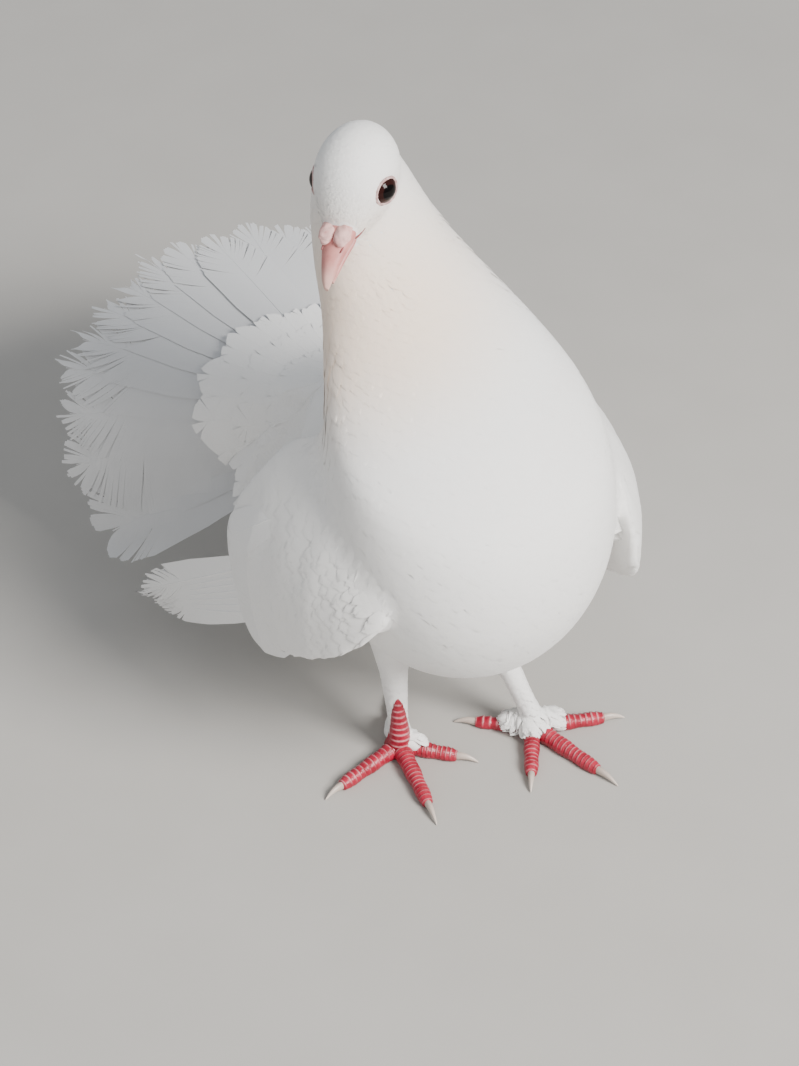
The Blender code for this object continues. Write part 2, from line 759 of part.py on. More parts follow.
def seat_wings():
    """Cuts the wings back from the body and the legs, so that a thin gap is left."""
    for name in ("wing_left", "wing_right"):
        wing = bpy.data.objects[name]
        grown = new_object("cutter", body_loft(0.0, len(stations) - 1.0, 24, grow=gap), "feather", white)
        boolean(wing, grown, "DIFFERENCE")
        side = name.split("_")[1]
        legs = new_object("cutter", loft(leg_rings(side, gap)), "feather", white)
        boolean(wing, legs, "DIFFERENCE")
        keep_largest(wing)


def stand_on_floor():
    """Moves the model so that the middle of its box is over the origin and its soles are at zero."""
    solids = [o for o in bpy.context.scene.objects if o.type == "MESH"]
    corners = np.array([v.co for o in solids for v in o.data.vertices])
    low, high = corners.min(axis=0), corners.max(axis=0)
    shift = Vector((-(low[0] + high[0]) / 2, -(low[1] + high[1]) / 2, -low[2]))
    for solid in solids:
        solid.data.transform(Matrix.Translation(shift))
    print("shift", [round(c * 1000, 2) for c in shift], "size", [round(c * 1000, 1) for c in high - low])
    return shift


def main():
    clear_scene()
    make_flesh()
    make_face(bpy.data.objects["head"])
    make_tail()
    make_wing("wing_left", 1)
    make_wing("wing_right", -1)
    make_foot("left")
    make_foot("right")
    seat_wings()
    return stand_on_floor()


floor_shift = main()
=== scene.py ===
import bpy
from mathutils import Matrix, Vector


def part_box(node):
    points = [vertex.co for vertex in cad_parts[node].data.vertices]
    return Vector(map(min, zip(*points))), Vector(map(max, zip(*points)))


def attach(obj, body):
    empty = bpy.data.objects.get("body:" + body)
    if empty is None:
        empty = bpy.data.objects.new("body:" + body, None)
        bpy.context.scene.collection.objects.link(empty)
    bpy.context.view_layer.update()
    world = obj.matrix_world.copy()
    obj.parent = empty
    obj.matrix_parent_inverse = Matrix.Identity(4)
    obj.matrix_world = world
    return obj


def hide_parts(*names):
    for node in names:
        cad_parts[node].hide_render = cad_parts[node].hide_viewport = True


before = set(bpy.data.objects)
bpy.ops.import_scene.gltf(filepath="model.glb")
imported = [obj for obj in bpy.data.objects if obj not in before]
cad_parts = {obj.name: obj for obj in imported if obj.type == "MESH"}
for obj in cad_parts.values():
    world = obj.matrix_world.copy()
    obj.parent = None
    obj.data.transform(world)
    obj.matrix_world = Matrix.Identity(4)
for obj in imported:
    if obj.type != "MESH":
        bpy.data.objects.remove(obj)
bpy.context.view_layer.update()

# The looks of a white fantail pigeon: one skin, feathers laid over it, and finer bill, eyes and feet.
# Shapes are worked out in millimetres in the bird's own frame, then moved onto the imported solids.
import math

import bmesh
import bpy
import numpy as np
from mathutils import Matrix, Vector
from mathutils.bvhtree import BVHTree
from mathutils.kdtree import KDTree


# places: the bird's own frame, in mm
upright = np.array((0, 0, 1.0))
stance = np.array((5.4, 10.1, -9.6))  # where the feet's level lies from the body's own
tailRoot = np.array((0, 66, 77.0))
headPose = {
    "turn": math.radians(50), "bow": math.radians(24), "roll": math.radians(7.5),
    "eyeLine": np.array((-19, 34, 185.2)), "eyeSide": 7.7,
}
turn, bow, roll = headPose["turn"], headPose["bow"], headPose["roll"]
ahead = np.array((-math.sin(turn) * math.cos(bow), -math.cos(turn) * math.cos(bow), -math.sin(bow)))
leftward = np.array((math.cos(turn), -math.sin(turn), 0.0))
crownward = np.cross(ahead, leftward)
leftward, crownward = (
    leftward * math.cos(roll) + crownward * math.sin(roll),
    crownward * math.cos(roll) - leftward * math.sin(roll),
)
leftEye = headPose["eyeLine"] + leftward * headPose["eyeSide"]
eyeLow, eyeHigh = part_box("eye_left")
rowShift = np.array((eyeLow + eyeHigh) / 2) * 1000 - leftEye  # from the bird's frame to the row's, in mm


def unit(a):
    return a / np.maximum(np.linalg.norm(a, axis=-1, keepdims=True), 1e-9)


def fullTurn(count):
    # the angles of a whole turn, in equal steps
    return np.linspace(0, 2 * np.pi, count, endpoint=False)


def beside(way):
    # level, and square to a way
    return np.array((-way[1], way[0], 0.0))


def readRows(table, at):
    # the later rows of a table, read where its first row has the values asked for
    return [np.interp(at, table[0], row) for row in table[1:]]


def headPoint(forward, left, up):
    f, l, u = (np.asarray(v, float)[..., None] for v in (forward, left, up))
    return headPose["eyeLine"] + ahead * f + leftward * l + crownward * u


def smoothTable(rows, t):
    # a Catmull-Rom curve through the rows
    rows = np.asarray(rows, float)
    last = len(rows) - 1
    t = np.asarray(t, float)
    i = np.minimum(t.astype(int), last - 1)
    s = (t - i).reshape(t.shape + (1,) * (rows.ndim - 1))
    before, here, there, after = (rows[np.clip(i + k, 0, last)] for k in (-1, 0, 1, 2))
    return (
        here + 0.5 * s * (there - before) + s * s * (before - 2.5 * here + 2 * there - 0.5 * after)
        + s**3 * (1.5 * (here - there) + 0.5 * (after - before))
    )


# finishes
class Wire:
    # a socket in a finish, so that sums on it add Math nodes
    def __init__(self, finish, socket):
        self.finish = finish
        self.socket = socket

    def work(self, operation, *values):
        return self.finish.add("ShaderNodeMath", {"operation": operation}, values)

    def __add__(self, other):
        return self.work("ADD", self, other)

    def __radd__(self, other):
        return self.work("ADD", other, self)

    def __sub__(self, other):
        return self.work("SUBTRACT", self, other)

    def __rsub__(self, other):
        return self.work("SUBTRACT", other, self)

    def __mul__(self, other):
        return self.work("MULTIPLY", self, other)

    def __rmul__(self, other):
        return self.work("MULTIPLY", other, self)


class Finish:
    # a material; add() makes any node from its type, settings and socket values
    def __init__(self, name, roughness, colour, **constants):
        self.material = bpy.data.materials.new(name)
        self.material.use_nodes = True
        self.tree = self.material.node_tree
        self.shader = self.tree.nodes["Principled BSDF"]
        self.shader.inputs["Base Color"].default_value = (*colour, 1)
        self.shader.inputs["Roughness"].default_value = roughness
        for socket, value in constants.items():
            self.shader.inputs[socket.replace("_", " ")].default_value = value

    def add(self, kind, settings, values=(), outlet=0):
        node = self.tree.nodes.new(kind)
        for key, value in settings.items():
            setattr(node, key, value)
        pairs = values.items() if isinstance(values, dict) else enumerate(values)
        for socket, value in pairs:
            self.plug(node.inputs[socket], value)
        return Wire(self, node.outputs[outlet])

    def plug(self, socket, value):
        if isinstance(value, Wire):
            self.tree.links.new(value.socket, socket)
        elif isinstance(value, tuple) and len(value) == 3 and socket.type == "RGBA":
            socket.default_value = (*value, 1)
        else:
            socket.default_value = value

    def use(self, socket, wire):
        self.plug(self.shader.inputs[socket], wire)

    def place(self):
        return self.add("ShaderNodeTexCoord", {}, outlet="Object")

    def map(self, name):
        return self.add("ShaderNodeUVMap", {"uv_map": name})

    def parts(self, vector):
        first = self.add("ShaderNodeSeparateXYZ", {}, (vector,))
        return [Wire(self, out) for out in first.socket.node.outputs]

    def noise(self, vector, scale, detail=2.0, roughness=0.5):
        values = {"Vector": vector, "Scale": scale, "Detail": detail, "Roughness": roughness}
        return self.add("ShaderNodeTexNoise", {}, values, "Fac")

    def attribute(self, name):
        return self.add("ShaderNodeAttribute", {"attribute_name": name}, outlet="Fac")

    def mix(self, factor, first, second):
        # the colour sockets of a Mix node are its seventh and eighth
        return self.add("ShaderNodeMix", {"data_type": "RGBA"}, {0: factor, 6: first, 7: second}, 2)

    def step(self, value, low, high):
        values = {"Value": value, "From Min": low, "From Max": high}
        return self.add("ShaderNodeMapRange", {"interpolation_type": "SMOOTHSTEP"}, values)

    def bump(self, height, distance, strength):
        values = {"Strength": strength, "Distance": distance, "Height": height}
        self.use("Normal", self.add("ShaderNodeBump", {}, values))


# meshes
def makeMesh(name, verts, faces, finish, uvs=None, values=None, sharp=0):
    # verts are in mm in the bird's frame; uvs hold a pair and values a number for each of them
    mesh = bpy.data.meshes.new(name)
    verts = (np.asarray(verts, float) + rowShift) * 0.001
    if isinstance(faces, list):
        mesh.from_pydata(verts.tolist(), [], faces)
    else:
        corners = faces.shape[1]
        mesh.vertices.add(len(verts))
        mesh.vertices.foreach_set("co", verts.astype(np.float32).ravel())
        mesh.loops.add(faces.size)
        mesh.loops.foreach_set("vertex_index", faces.astype(np.int32).ravel())
        mesh.polygons.add(len(faces))
        mesh.polygons.foreach_set("loop_start", np.arange(0, faces.size, corners, dtype=np.int32))
    mesh.update(calc_edges=True)
    corner = np.zeros(len(mesh.loops), np.int32)
    mesh.loops.foreach_get("vertex_index", corner)
    for key, pairs in (uvs or {}).items():
        layer = mesh.uv_layers.new(name=key)
        layer.uv.foreach_set("vector", np.asarray(pairs, np.float32)[corner].ravel())
    for key, numbers in (values or {}).items():
        held = mesh.attributes.new(key, "FLOAT", "POINT")
        held.data.foreach_set("value", np.asarray(numbers, np.float32))
    mesh.shade_smooth()
    if sharp:
        mesh.set_sharp_from_angle(angle=math.radians(sharp))
    made = bpy.data.objects.new(name, mesh)
    made.data.materials.append(finish.material)
    bpy.context.scene.collection.objects.link(made)
    return made


def dress(piece, slot, *nodes):
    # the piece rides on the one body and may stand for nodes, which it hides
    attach(piece, "root")
    if nodes:
        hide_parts(*nodes)


def tube(rings):
    # faces of a closed loft through rings of equal count, with a middle point at each end
    rings = np.asarray(rings, float)
    rows, count = rings.shape[:2]
    verts = np.concatenate([rings.reshape(-1, 3), rings[:1].mean(1), rings[-1:].mean(1)])
    i, j = np.meshgrid(np.arange(rows - 1), np.arange(count), indexing="ij")
    a, b = i * count + j, i * count + (j + 1) % count
    quads = np.stack([a, b, b + count, a + count], -1).reshape(-1, 4)
    end, first, last = (rows - 1) * count, len(verts) - 2, len(verts) - 1
    caps = [[first, (k + 1) % count, k] for k in range(count)]
    caps += [[last, end + k, end + (k + 1) % count] for k in range(count)]
    return verts, quads.tolist() + caps


def joined(parts):
    # several (verts, faces) lists as one
    verts, faces, start = [], [], 0
    for places, corners in parts:
        verts.append(np.asarray(places, float))
        faces += [[v + start for v in corner] for corner in corners]
        start += len(places)
    return np.concatenate(verts), faces


def closedMesh(name, shape, finish, values=None, sharp=0):
    # a closed mesh from (verts, faces), its faces turned outwards
    piece = makeMesh(name, *shape, finish, values=values, sharp=sharp)
    bm = bmesh.new()
    bm.from_mesh(piece.data)
    bmesh.ops.recalc_face_normals(bm, faces=bm.faces)
    bm.to_mesh(piece.data)
    bm.free()
    return piece


def applied(piece):
    # the piece's mesh with its modifiers worked in
    bpy.context.view_layer.update()
    graph = bpy.context.evaluated_depsgraph_get()
    mesh = bpy.data.meshes.new_from_object(piece.evaluated_get(graph))
    piece.modifiers.clear()
    piece.data = mesh


# the body's shape, as the solids have it
def section(lower, upper, halfWidth, turned=0.0, sideShift=0.0):
    turned = math.radians(turned)
    low = np.array((sideShift, lower[0], lower[1]), float)
    high = np.array((sideShift, upper[0], upper[1]), float)
    rise = (high - low) / 2
    rise = np.array((rise[1] * math.sin(turned), rise[1] * math.cos(turned), rise[2]))
    side = np.array((math.cos(turned), -math.sin(turned), 0)) * halfWidth
    return np.array(((low + high) / 2, rise, side))


def headSection(forward, up, halfHeight, halfWidth):
    return np.array((headPoint(forward, 0, up), crownward * halfHeight, leftward * halfWidth))


bodySections = np.array([
    section((74, 66), (76, 88), 13), section((58, 56), (63, 97), 24), section((36, 44), (48, 108), 34),
    section((12, 37), (38, 119), 39.5, 0, -0.5), section((-12, 38), (36, 127), 42, 0, -1.5),
    section((-31, 51), (36, 132), 43, 0, -2), section((-43, 74), (37, 136), 42.5, 0, -2.5),
    section((-42, 100), (40, 141), 40, 0, -3), section((-27, 119), (45, 148), 34, 4, -4.5),
    section((-9, 135), (51, 157), 26.5, 12, -7), section((8, 149), (56, 168), 20, 24, -10.5),
    section((19, 162), (56, 183), 15, 36, -14), section((26, 175), (50, 194), 11.5, 46, -17),
])
headSections = np.array([
    headSection(-17.4, 1.2, 2.5, 2.3), headSection(-16.3, 1.0, 6.0, 5.6), headSection(-13, 0.7, 9.8, 9.2),
    headSection(-8, 0.5, 12.3, 11.4), headSection(-2, 0.2, 13.0, 11.9), headSection(4, -0.8, 11.6, 10.6),
    headSection(8.5, -2.2, 9.2, 8.4), headSection(12, -3.8, 6.4, 6.2), headSection(14, -4.8, 4.2, 4.6),
])


def ringAt(sections, t, grow, count):
    # rings of points at each t; a body's section is a little wider below its middle
    t = np.asarray(t, float)
    grow = np.broadcast_to(grow, t.shape)[:, None]
    centre, rise, side = np.moveaxis(smoothTable(sections, t), 1, 0)
    tall = np.linalg.norm(rise, axis=1, keepdims=True) + grow
    wide = np.linalg.norm(side, axis=1, keepdims=True) + grow
    angle = fullTurn(count)
    egg = 0.06 * np.clip(10 - t, 0, 1)[:, None] if sections is bodySections else 0.0
    width = wide * (1 - egg * np.sin(angle))
    across = unit(side)[:, None] * (np.cos(angle) * width)[..., None]
    up = unit(rise)[:, None] * (np.sin(angle) * tall)[..., None]
    return centre[:, None] + across + up


# the wings, in mm; side 1 is the bird's left and -1 its right
wing = {
    # y, how far out, lowest, highest and how thick
    "rows": np.array((
        (-25, 42.5, 78, 88, 2), (-21, 46.0, 70, 96, 7), (-13, 51.0, 61, 106, 13), (-3, 55.5, 54, 113, 16),
        (10, 58.3, 47, 117, 18), (25, 59.3, 39, 115, 17), (40, 57.0, 30, 108, 13), (54, 51.5, 26, 96, 10),
        (66, 46.0, 26, 84, 7.5), (76, 41.0, 29, 73, 5), (84, 37.5, 33, 62, 2),
    ), float).T,
    "droop": {1: 9.0, -1: 0.0},  # how far the lower edge sinks towards the shoulder
    "fall": {  # how far the upper edge comes down, by y
        1: ((12, 52, 84), (0, 2, 3.8)),
        -1: ((20, 30, 36, 42, 46, 50, 60, 70, 84), (0, 4.5, 15, 25, 31, 34.5, 39, 37, 27.5)),
    },
    "slope": {1: 2.0, -1: 13.0},  # how far the uppermost quills come down behind
    "fullest": 70.0,  # the height at which the wing stands out most
    "curve": (0.0104, 0.0044),  # how fast it draws in above and below that
    "edge": 2.4,  # how thick it is at its edges
}


def wingEdges(side, y):
    # the lowest and highest the wing reaches at each y
    _, low, high, _ = readRows(wing["rows"], y)
    return low - wing["droop"][side] * np.clip((60 - y) / 40, 0, 1), high - np.interp(y, *wing["fall"][side])


def wingOuter(y, z):
    widest = np.interp(y, *wing["rows"][:2])
    above, below = (np.maximum(off, 0) ** 2 for off in (z - wing["fullest"], wing["fullest"] - z))
    return widest - wing["curve"][0] * above - wing["curve"][1] * below


def wingPoint(side, y, z, lift):
    # raised off the wing's outer surface by lift, all in mm
    y, z, lift = np.broadcast_arrays(*(np.asarray(v, float) for v in (y, z, lift)))
    out = wingOuter(y, z)
    slopeY = (wingOuter(y + 3, z) - wingOuter(y - 3, z)) / 6
    slopeZ = (wingOuter(y, z + 3) - wingOuter(y, z - 3)) / 6
    normal = unit(np.stack([np.ones_like(out), -slopeY, -slopeZ], -1))
    point = np.stack([out, y, z], -1) + normal * lift[..., None]
    point[..., 0] *= side
    return point


# the skin
skinMaking = {
    "voxel": 1.15, "smoothing": 6, "coatDepth": 1.0, "headDepth": 0.55, "wingDepth": 1.3, "legDepth": 1.0,
}


def wingForm(side):
    ys = np.linspace(-24.6, 83.5, 56)
    low, high = wingEdges(side, ys)
    thick = np.interp(ys, wing["rows"][0], wing["rows"][4])
    share = -np.cos(np.pi * np.arange(25) / 24)
    z = ((low + high) / 2)[:, None] + ((high - low) / 2)[:, None] * share
    inner = np.maximum(thick - wing["edge"], 0)[:, None] * np.sqrt(np.maximum(1 - share**2, 0))
    front = wingPoint(side, ys[:, None], z, -skinMaking["wingDepth"])
    back = wingPoint(side, ys[:, None], z, -skinMaking["wingDepth"] - (wing["edge"] + inner))
    return tube(np.concatenate([front, back[:, ::-1]], 1))


foot = {
    "spots": {"right": np.array((-21.5, 2.5, 0)), "left": np.array((17.8, -9.2, 0))},
    "hocks": {"right": np.array((-17.5, 16, 38)), "left": np.array((9.5, 10.5, 38))},
    "ankleHeight": 7.0, "kneeHeight": 66,
    "legRadii": ((0.0, 0.3, 0.6, 0.85, 1.05, 1.3, 1.65, 2.0), (3.4, 3.9, 4.8, 6.6, 8.6, 10.6, 12, 11)),
    # each toe: where its tip is, its scutes and how thick it starts
    "toes": {
        "right": (("middle", (-25.6, -23.2), 15, 2.7), ("outer", (-44.5, -4.5), 11, 2.5),
                  ("inner", (-8.2, -9.2), 11, 2.5), ("hind", (-14.5, 19.5), 7, 2.2)),
        "left": (("middle", (26, -34.3), 15, 2.7), ("outer", (39.1, -15.3), 11, 2.5),
                 ("inner", (7.7, -26.5), 11, 2.5), ("hind", (4.2, 1.4), 7, 2.2)),
    },
}


def legLine(side):
    # centres and radii up the leg: 0 is the ankle, 1 the hock and 2 the thigh
    hock = foot["hocks"][side]
    start = foot["spots"][side] + stance + np.array((0, 0, foot["ankleHeight"]))
    knee = np.array((hock[0] * 0.9, hock[1] - 7, foot["kneeHeight"]))
    s = np.linspace(-0.02, 2.0, 40)
    low, high = np.clip(s, -1, 1)[:, None], np.maximum(s - 1, 0)[:, None]
    return start + (hock - start) * low + (knee - hock) * high, np.interp(s, *foot["legRadii"])


def legCircle(count):
    angle = fullTurn(count)
    return np.stack([np.cos(angle), 1.1 * np.sin(angle), 0 * angle], -1)


def legForm(side):
    centre, radius = legLine(side)
    return tube(centre[:, None] + legCircle(24) * (radius[:, None, None] - skinMaking["legDepth"]))


# white feathers reach onto some toes: how far along each, as a share of it, and how thick and high they lie
tuft = {
    "toes": {
        "left": (("outer", 0.40), ("inner", 0.24), ("hind", 0.5)), "right": (("inner", 0.40), ("hind", 0.6)),
    },
    "radius": ((0, 0.35, 0.8, 1.0), (3.2, 3.9, 3.3, 2.2)), "height": ((0, 0.5, 1.0), (5.2, 4.2, 3.0)),
    "skinDepth": 0.6,
}


def tuftRings(side, toe, reach, grow):
    spot = foot["spots"][side]
    tip = next(np.array((*row[1], 0.0)) for row in foot["toes"][side] if row[0] == toe)
    share = np.linspace(0.0, 1.0, 12)
    radius = np.interp(share, *tuft["radius"]) + grow
    centres = spot + stance + (tip - spot) * (share * reach)[:, None]
    centres[:, 2] += np.interp(share, *tuft["height"])
    way = unit(tip - spot)
    up = unit(upright + way * 0.4)
    angle = fullTurn(16)
    flat = beside(way) * np.cos(angle)[:, None] + up * np.sin(angle)[:, None]
    return centres[:, None] + flat * radius[:, None, None]


# the tail's root: mm behind the tail's centre, half width, half height, and how far it lies below
rumpRows = (
    (12, 14.5, 9.3, 1.5), (18, 17.5, 9.0, 3.5), (26, 18.5, 7.5, 5), (34, 15.5, 4.7, 4.5), (41, 10, 2.0, 3.5),
)


def rumpRing(back, wide, tall, drop):
    angle = fullTurn(40)
    ring = np.stack([np.cos(angle) * wide, 0 * angle, np.sin(angle) * tall], -1)
    return tailRoot + np.array((0, back, -drop)) + ring


def rumpForm():
    rings = list(ringAt(bodySections, np.array((0.5, 0.0)), -skinMaking["coatDepth"], 40))
    rings = np.array(rings + [rumpRing(*row) for row in rumpRows])
    return tube(smoothTable(rings, np.linspace(0, len(rings) - 1, 30)))


def makeSkin(finish):
    bodyT = np.linspace(0, len(bodySections) - 1, 110)
    grow = -np.interp(bodyT, (0, 8, 12), (1.0, 0.9, 0.6)) * skinMaking["coatDepth"]
    headT = np.linspace(0, len(headSections) - 1, 60)
    parts = [
        tube(ringAt(bodySections, bodyT, grow, 72)),
        tube(ringAt(headSections, headT, -skinMaking["headDepth"], 56)),
        wingForm(1), wingForm(-1), legForm("left"), legForm("right"), rumpForm(),
    ]
    for side, toes in tuft["toes"].items():
        parts += [tube(tuftRings(side, toe, reach, -tuft["skinDepth"])) for toe, reach in toes]
    shapes = []
    for part in parts:
        made = closedMesh("skinPart", part, finish)
        mesh = made.data
        shapes.append((np.array([v.co for v in mesh.vertices]), [list(p.vertices) for p in mesh.polygons]))
        bpy.data.objects.remove(made, do_unlink=True)
    verts, faces = joined(shapes)
    skin = makeMesh("skin", verts * 1000 - rowShift, faces, finish)
    modifier = skin.modifiers.new("shell", "REMESH")
    modifier.mode = "VOXEL"
    modifier.voxel_size = skinMaking["voxel"] * 0.001
    modifier.use_smooth_shade = True
    smoother = skin.modifiers.new("smooth", "CORRECTIVE_SMOOTH")
    smoother.iterations = skinMaking["smoothing"]
    smoother.use_only_smooth = True
    smoother.smooth_type = "LENGTH_WEIGHTED"
    applied(skin)
    return skin


def skinArrays(skin):
    mesh = skin.data
    mesh.calc_loop_triangles()
    verts = np.zeros(len(mesh.vertices) * 3, np.float32)
    mesh.vertices.foreach_get("co", verts)
    normals = np.zeros(len(mesh.vertices) * 3, np.float32)
    mesh.vertices.foreach_get("normal", normals)
    tris = np.zeros(len(mesh.loop_triangles) * 3, np.int32)
    mesh.loop_triangles.foreach_get("vertices", tris)
    verts = verts.reshape(-1, 3).astype(float) * 1000 - rowShift
    return verts, normals.reshape(-1, 3).astype(float), tris.reshape(-1, 3)


# the lie of the coat: the body's and the head's rows are where, a feather's length, spacing and rise
coat = {
    "body": (  # from the tail's root to the nape
        (0, 1, 3, 5, 7, 8, 9, 10, 11, 12),
        (22, 19, 15, 13, 11, 9.5, 8.2, 7.2, 6.4, 5.6),
        (4.4, 4.2, 3.7, 3.3, 2.9, 2.6, 2.25, 1.95, 1.65, 1.4),
        (0.8, 0.5, 0.3, 0.2, 0.17, 0.16, 0.17, 0.19, 0.2, 0.2),
    ),
    "head": (  # from the nape to the bill, in mm
        (-17, -8, 0, 6, 10, 14), (5.2, 4.8, 4.0, 3.2, 2.5, 1.9), (1.3, 1.2, 1.1, 1.0, 0.9, 0.8),
        (0.22, 0.2, 0.2, 0.2, 0.2, 0.2),
    ),
    # length, spacing and rise in mm
    "wing": (13.0, 3.6, 0.36), "leg": (5.5, 1.6, 0.6), "rump": (24.0, 4.4, 0.8), "tuft": (6.0, 1.2, 0.9),
    "tries": {"quick": 45000, "full": 170000}, "closest": 0.86, "cell": 2.0, "nearest": 5, "blend": 8,
    # bare places: round the eye by the share of a feather, under the foot for its root and its tip
    "eyeClear": ((0.0, 4.1), (0.5, 3.9), (1.0, 3.8)), "footClear": (1.5, 1.6), "billClear": (0.35, 0.0),
    # where feathers part and stand out a little: centre, reach, and how much narrower and higher they lie
    "ruffles": (
        ((-20.0, 14.0, 166.0), 9.0, 1.5), ((12.0, 37.0, 166.0), 11.0, 1.1), ((20.0, 28.0, 152.0), 11.0, 0.9),
        ((23.2, 0.9, -5.0), 13.0, 1.0), ((-15.0, 6.0, -5.0), 9.0, 1.0), ((-33.0, 22.0, 134.0), 13.0, 1.2),
        ((-44.0, -23.0, 85.0), 6.0, 1.2), ((-48.0, -18.0, 100.0), 7.0, 1.2), ((-50.0, -8.0, 112.0), 7.0, 1.0),
    ),
}


def fieldSamples():
    # points over the forms with the way a feather lies there, its length, spacing and rise
    rows = []

    def note(points, ways, length, spacing, rise):
        points, ways = points.reshape(-1, 3), ways.reshape(-1, 3)
        extra = [np.broadcast_to(np.asarray(v, float).ravel(), len(points)) for v in (length, spacing, rise)]
        rows.append(np.concatenate([points, unit(ways), np.stack(extra, 1)], 1))

    t = np.linspace(0, 12, 97)
    rings = ringAt(bodySections, t, -skinMaking["coatDepth"], 48)
    ways = -np.gradient(rings, axis=0)
    keep = t < 11.9
    note(rings[keep], ways[keep], *readRows(coat["body"], np.repeat(t[keep], 48)))

    rings = ringAt(headSections, np.linspace(0.6, 8, 60), -0.5, 40)
    forward = (rings - headPose["eyeLine"]) @ ahead
    note(rings, -np.gradient(rings, axis=0), *readRows(coat["head"], forward.ravel()))

    for side in (1, -1):
        y, z = np.meshgrid(np.linspace(-24, 83, 50), np.linspace(20, 116, 46), indexing="ij")
        low, high = wingEdges(side, y)
        inside = (z > low - 1) & (z < high + 1)
        down = 0.9 + 0.8 * np.clip((30 - y) / 60, 0, 1)
        front = wingPoint(side, y, z, -skinMaking["wingDepth"])
        further = wingPoint(side, y + 2.0, z - down, -skinMaking["wingDepth"])
        back = np.clip((y[inside] + 25) / 60, 0.0, 1.0)
        length, spacing, rise = coat["wing"]
        length, spacing = length * (0.55 + 0.75 * back), spacing * (0.7 + 0.45 * back)
        note(front[inside], (further - front)[inside], length, spacing, rise)

    for side in ("left", "right"):
        centre, radius = legLine(side)
        circle = legCircle(16)
        rings = (centre[:, None] + circle * radius[:, None, None])[:26]
        ways = -np.gradient(rings, axis=0) + circle * 0.05
        grown = np.interp(radius[:26], (3.4, 8.6), (1.0, 1.9))[:, None] * np.ones(16)
        length, spacing, rise = coat["leg"]
        note(rings, ways, length * grown, spacing * grown**0.8, rise)

    for side, toes in tuft["toes"].items():
        for toe, reach in toes:
            rings = tuftRings(side, toe, reach, 0.0)
            note(rings, np.gradient(rings, axis=0), *coat["tuft"])

    table = np.array(rumpRows).T
    angle = fullTurn(40)
    ways = np.stack([np.cos(angle) * 0.55, 1.0 + 0 * angle, 0 * angle - 0.05], -1)
    for back in np.linspace(6, 41, 14):
        note(rumpRing(back, *readRows(table, back)), ways, *coat["rump"])
    return np.concatenate(rows)


def coatField(verts, normals, tris):
    # the samples carried to every point of the skin and blended along it
    samples = fieldSamples()
    tree = KDTree(len(samples))
    for i, row in enumerate(samples):
        tree.insert(row[:3], i)
    tree.balance()
    field = np.zeros((len(verts), 6))
    for i, place in enumerate(verts):
        found = tree.find_n(place, coat["nearest"])
        weight = np.array([1 / (f[2] + 0.6) ** 2 for f in found])
        rows = samples[[f[1] for f in found], 3:]
        field[i] = (rows * weight[:, None]).sum(0) / weight.sum()
    pairs = np.concatenate([tris[:, (0, 1)], tris[:, (1, 2)], tris[:, (2, 0)]])
    count = np.bincount(pairs.ravel(), minlength=len(verts))[:, None]
    for _ in range(coat["blend"]):
        total = np.zeros_like(field)
        for k in range(6):
            total[:, k] = np.bincount(pairs[:, 0], field[pairs[:, 1], k], len(verts))
            total[:, k] += np.bincount(pairs[:, 1], field[pairs[:, 0], k], len(verts))
        field = 0.5 * field + 0.5 * total / np.maximum(count, 1)
    way = field[:, :3]
    way = unit(way - normals * (way * normals).sum(1, keepdims=True))
    return np.concatenate([way, field[:, 3:]], 1)


def crowded(held, key, place, need):
    # true where a kept place lies nearer than need
    (x, y, z), (px, py, pz) = key, place
    reach = int(need / coat["cell"]) + 1
    steps = range(-reach, reach + 1)
    return any(
        (px - qx) ** 2 + (py - qy) ** 2 + (pz - qz) ** 2 < need * need
        for dx in steps for dy in steps for dz in steps
        for qx, qy, qz in held.get((x + dx, y + dy, z + dz), ())
    )


def scatter(verts, tris, field, rng, tries):
    # random places on the skin, kept only where none is nearer than the spacing asked for there
    a, b, c = (verts[tris[:, k]] for k in range(3))
    area = np.linalg.norm(np.cross(b - a, c - a), axis=1) / 2
    density = area / field[tris, 4].mean(1) ** 2
    pick = rng.choice(len(tris), tries, p=density / density.sum())
    u, v = rng.random(tries), rng.random(tries)
    over = u + v > 1
    u[over], v[over] = 1 - u[over], 1 - v[over]
    share = np.stack([1 - u - v, u, v], 1)
    places = (verts[tris[pick]] * share[..., None]).sum(1)
    values = (field[tris[pick]] * share[..., None]).sum(1)
    keys = np.floor(places / coat["cell"]).astype(int).tolist()
    needs = (values[:, 4] * coat["closest"]).tolist()
    held, kept = {}, []
    for i, (key, place, need) in enumerate(zip(keys, places.tolist(), needs)):
        if not crowded(held, key, place, need):
            held.setdefault(tuple(key), []).append(place)
            kept.append(i)
    return places[kept], values[kept], pick[kept], share[kept]


# body feathers: shares along one, its half width and lie there, and how much one differs from another
featherForm = {
    "along": np.array((0.0, 0.28, 0.55, 0.78, 0.92, 1.0)),
    "half": np.array((0.42, 0.82, 1.0, 0.86, 0.55, 0.14)),
    "lie": np.array((-0.15, 0.4, 0.72, 0.95, 0.98, 0.84)),
    "across": np.array((-1.0, -0.5, 0.0, 0.5, 1.0)),
    "widthShare": 0.60, "roundTip": 0.10, "cupped": 0.15, "thick": (0.2, 0.06),
    "turned": 0.07, "lengths": (0.88, 1.12), "widths": (0.92, 1.08), "ragged": 0.03, "offset": 0.015,
    "pieceLimit": 2900,
}


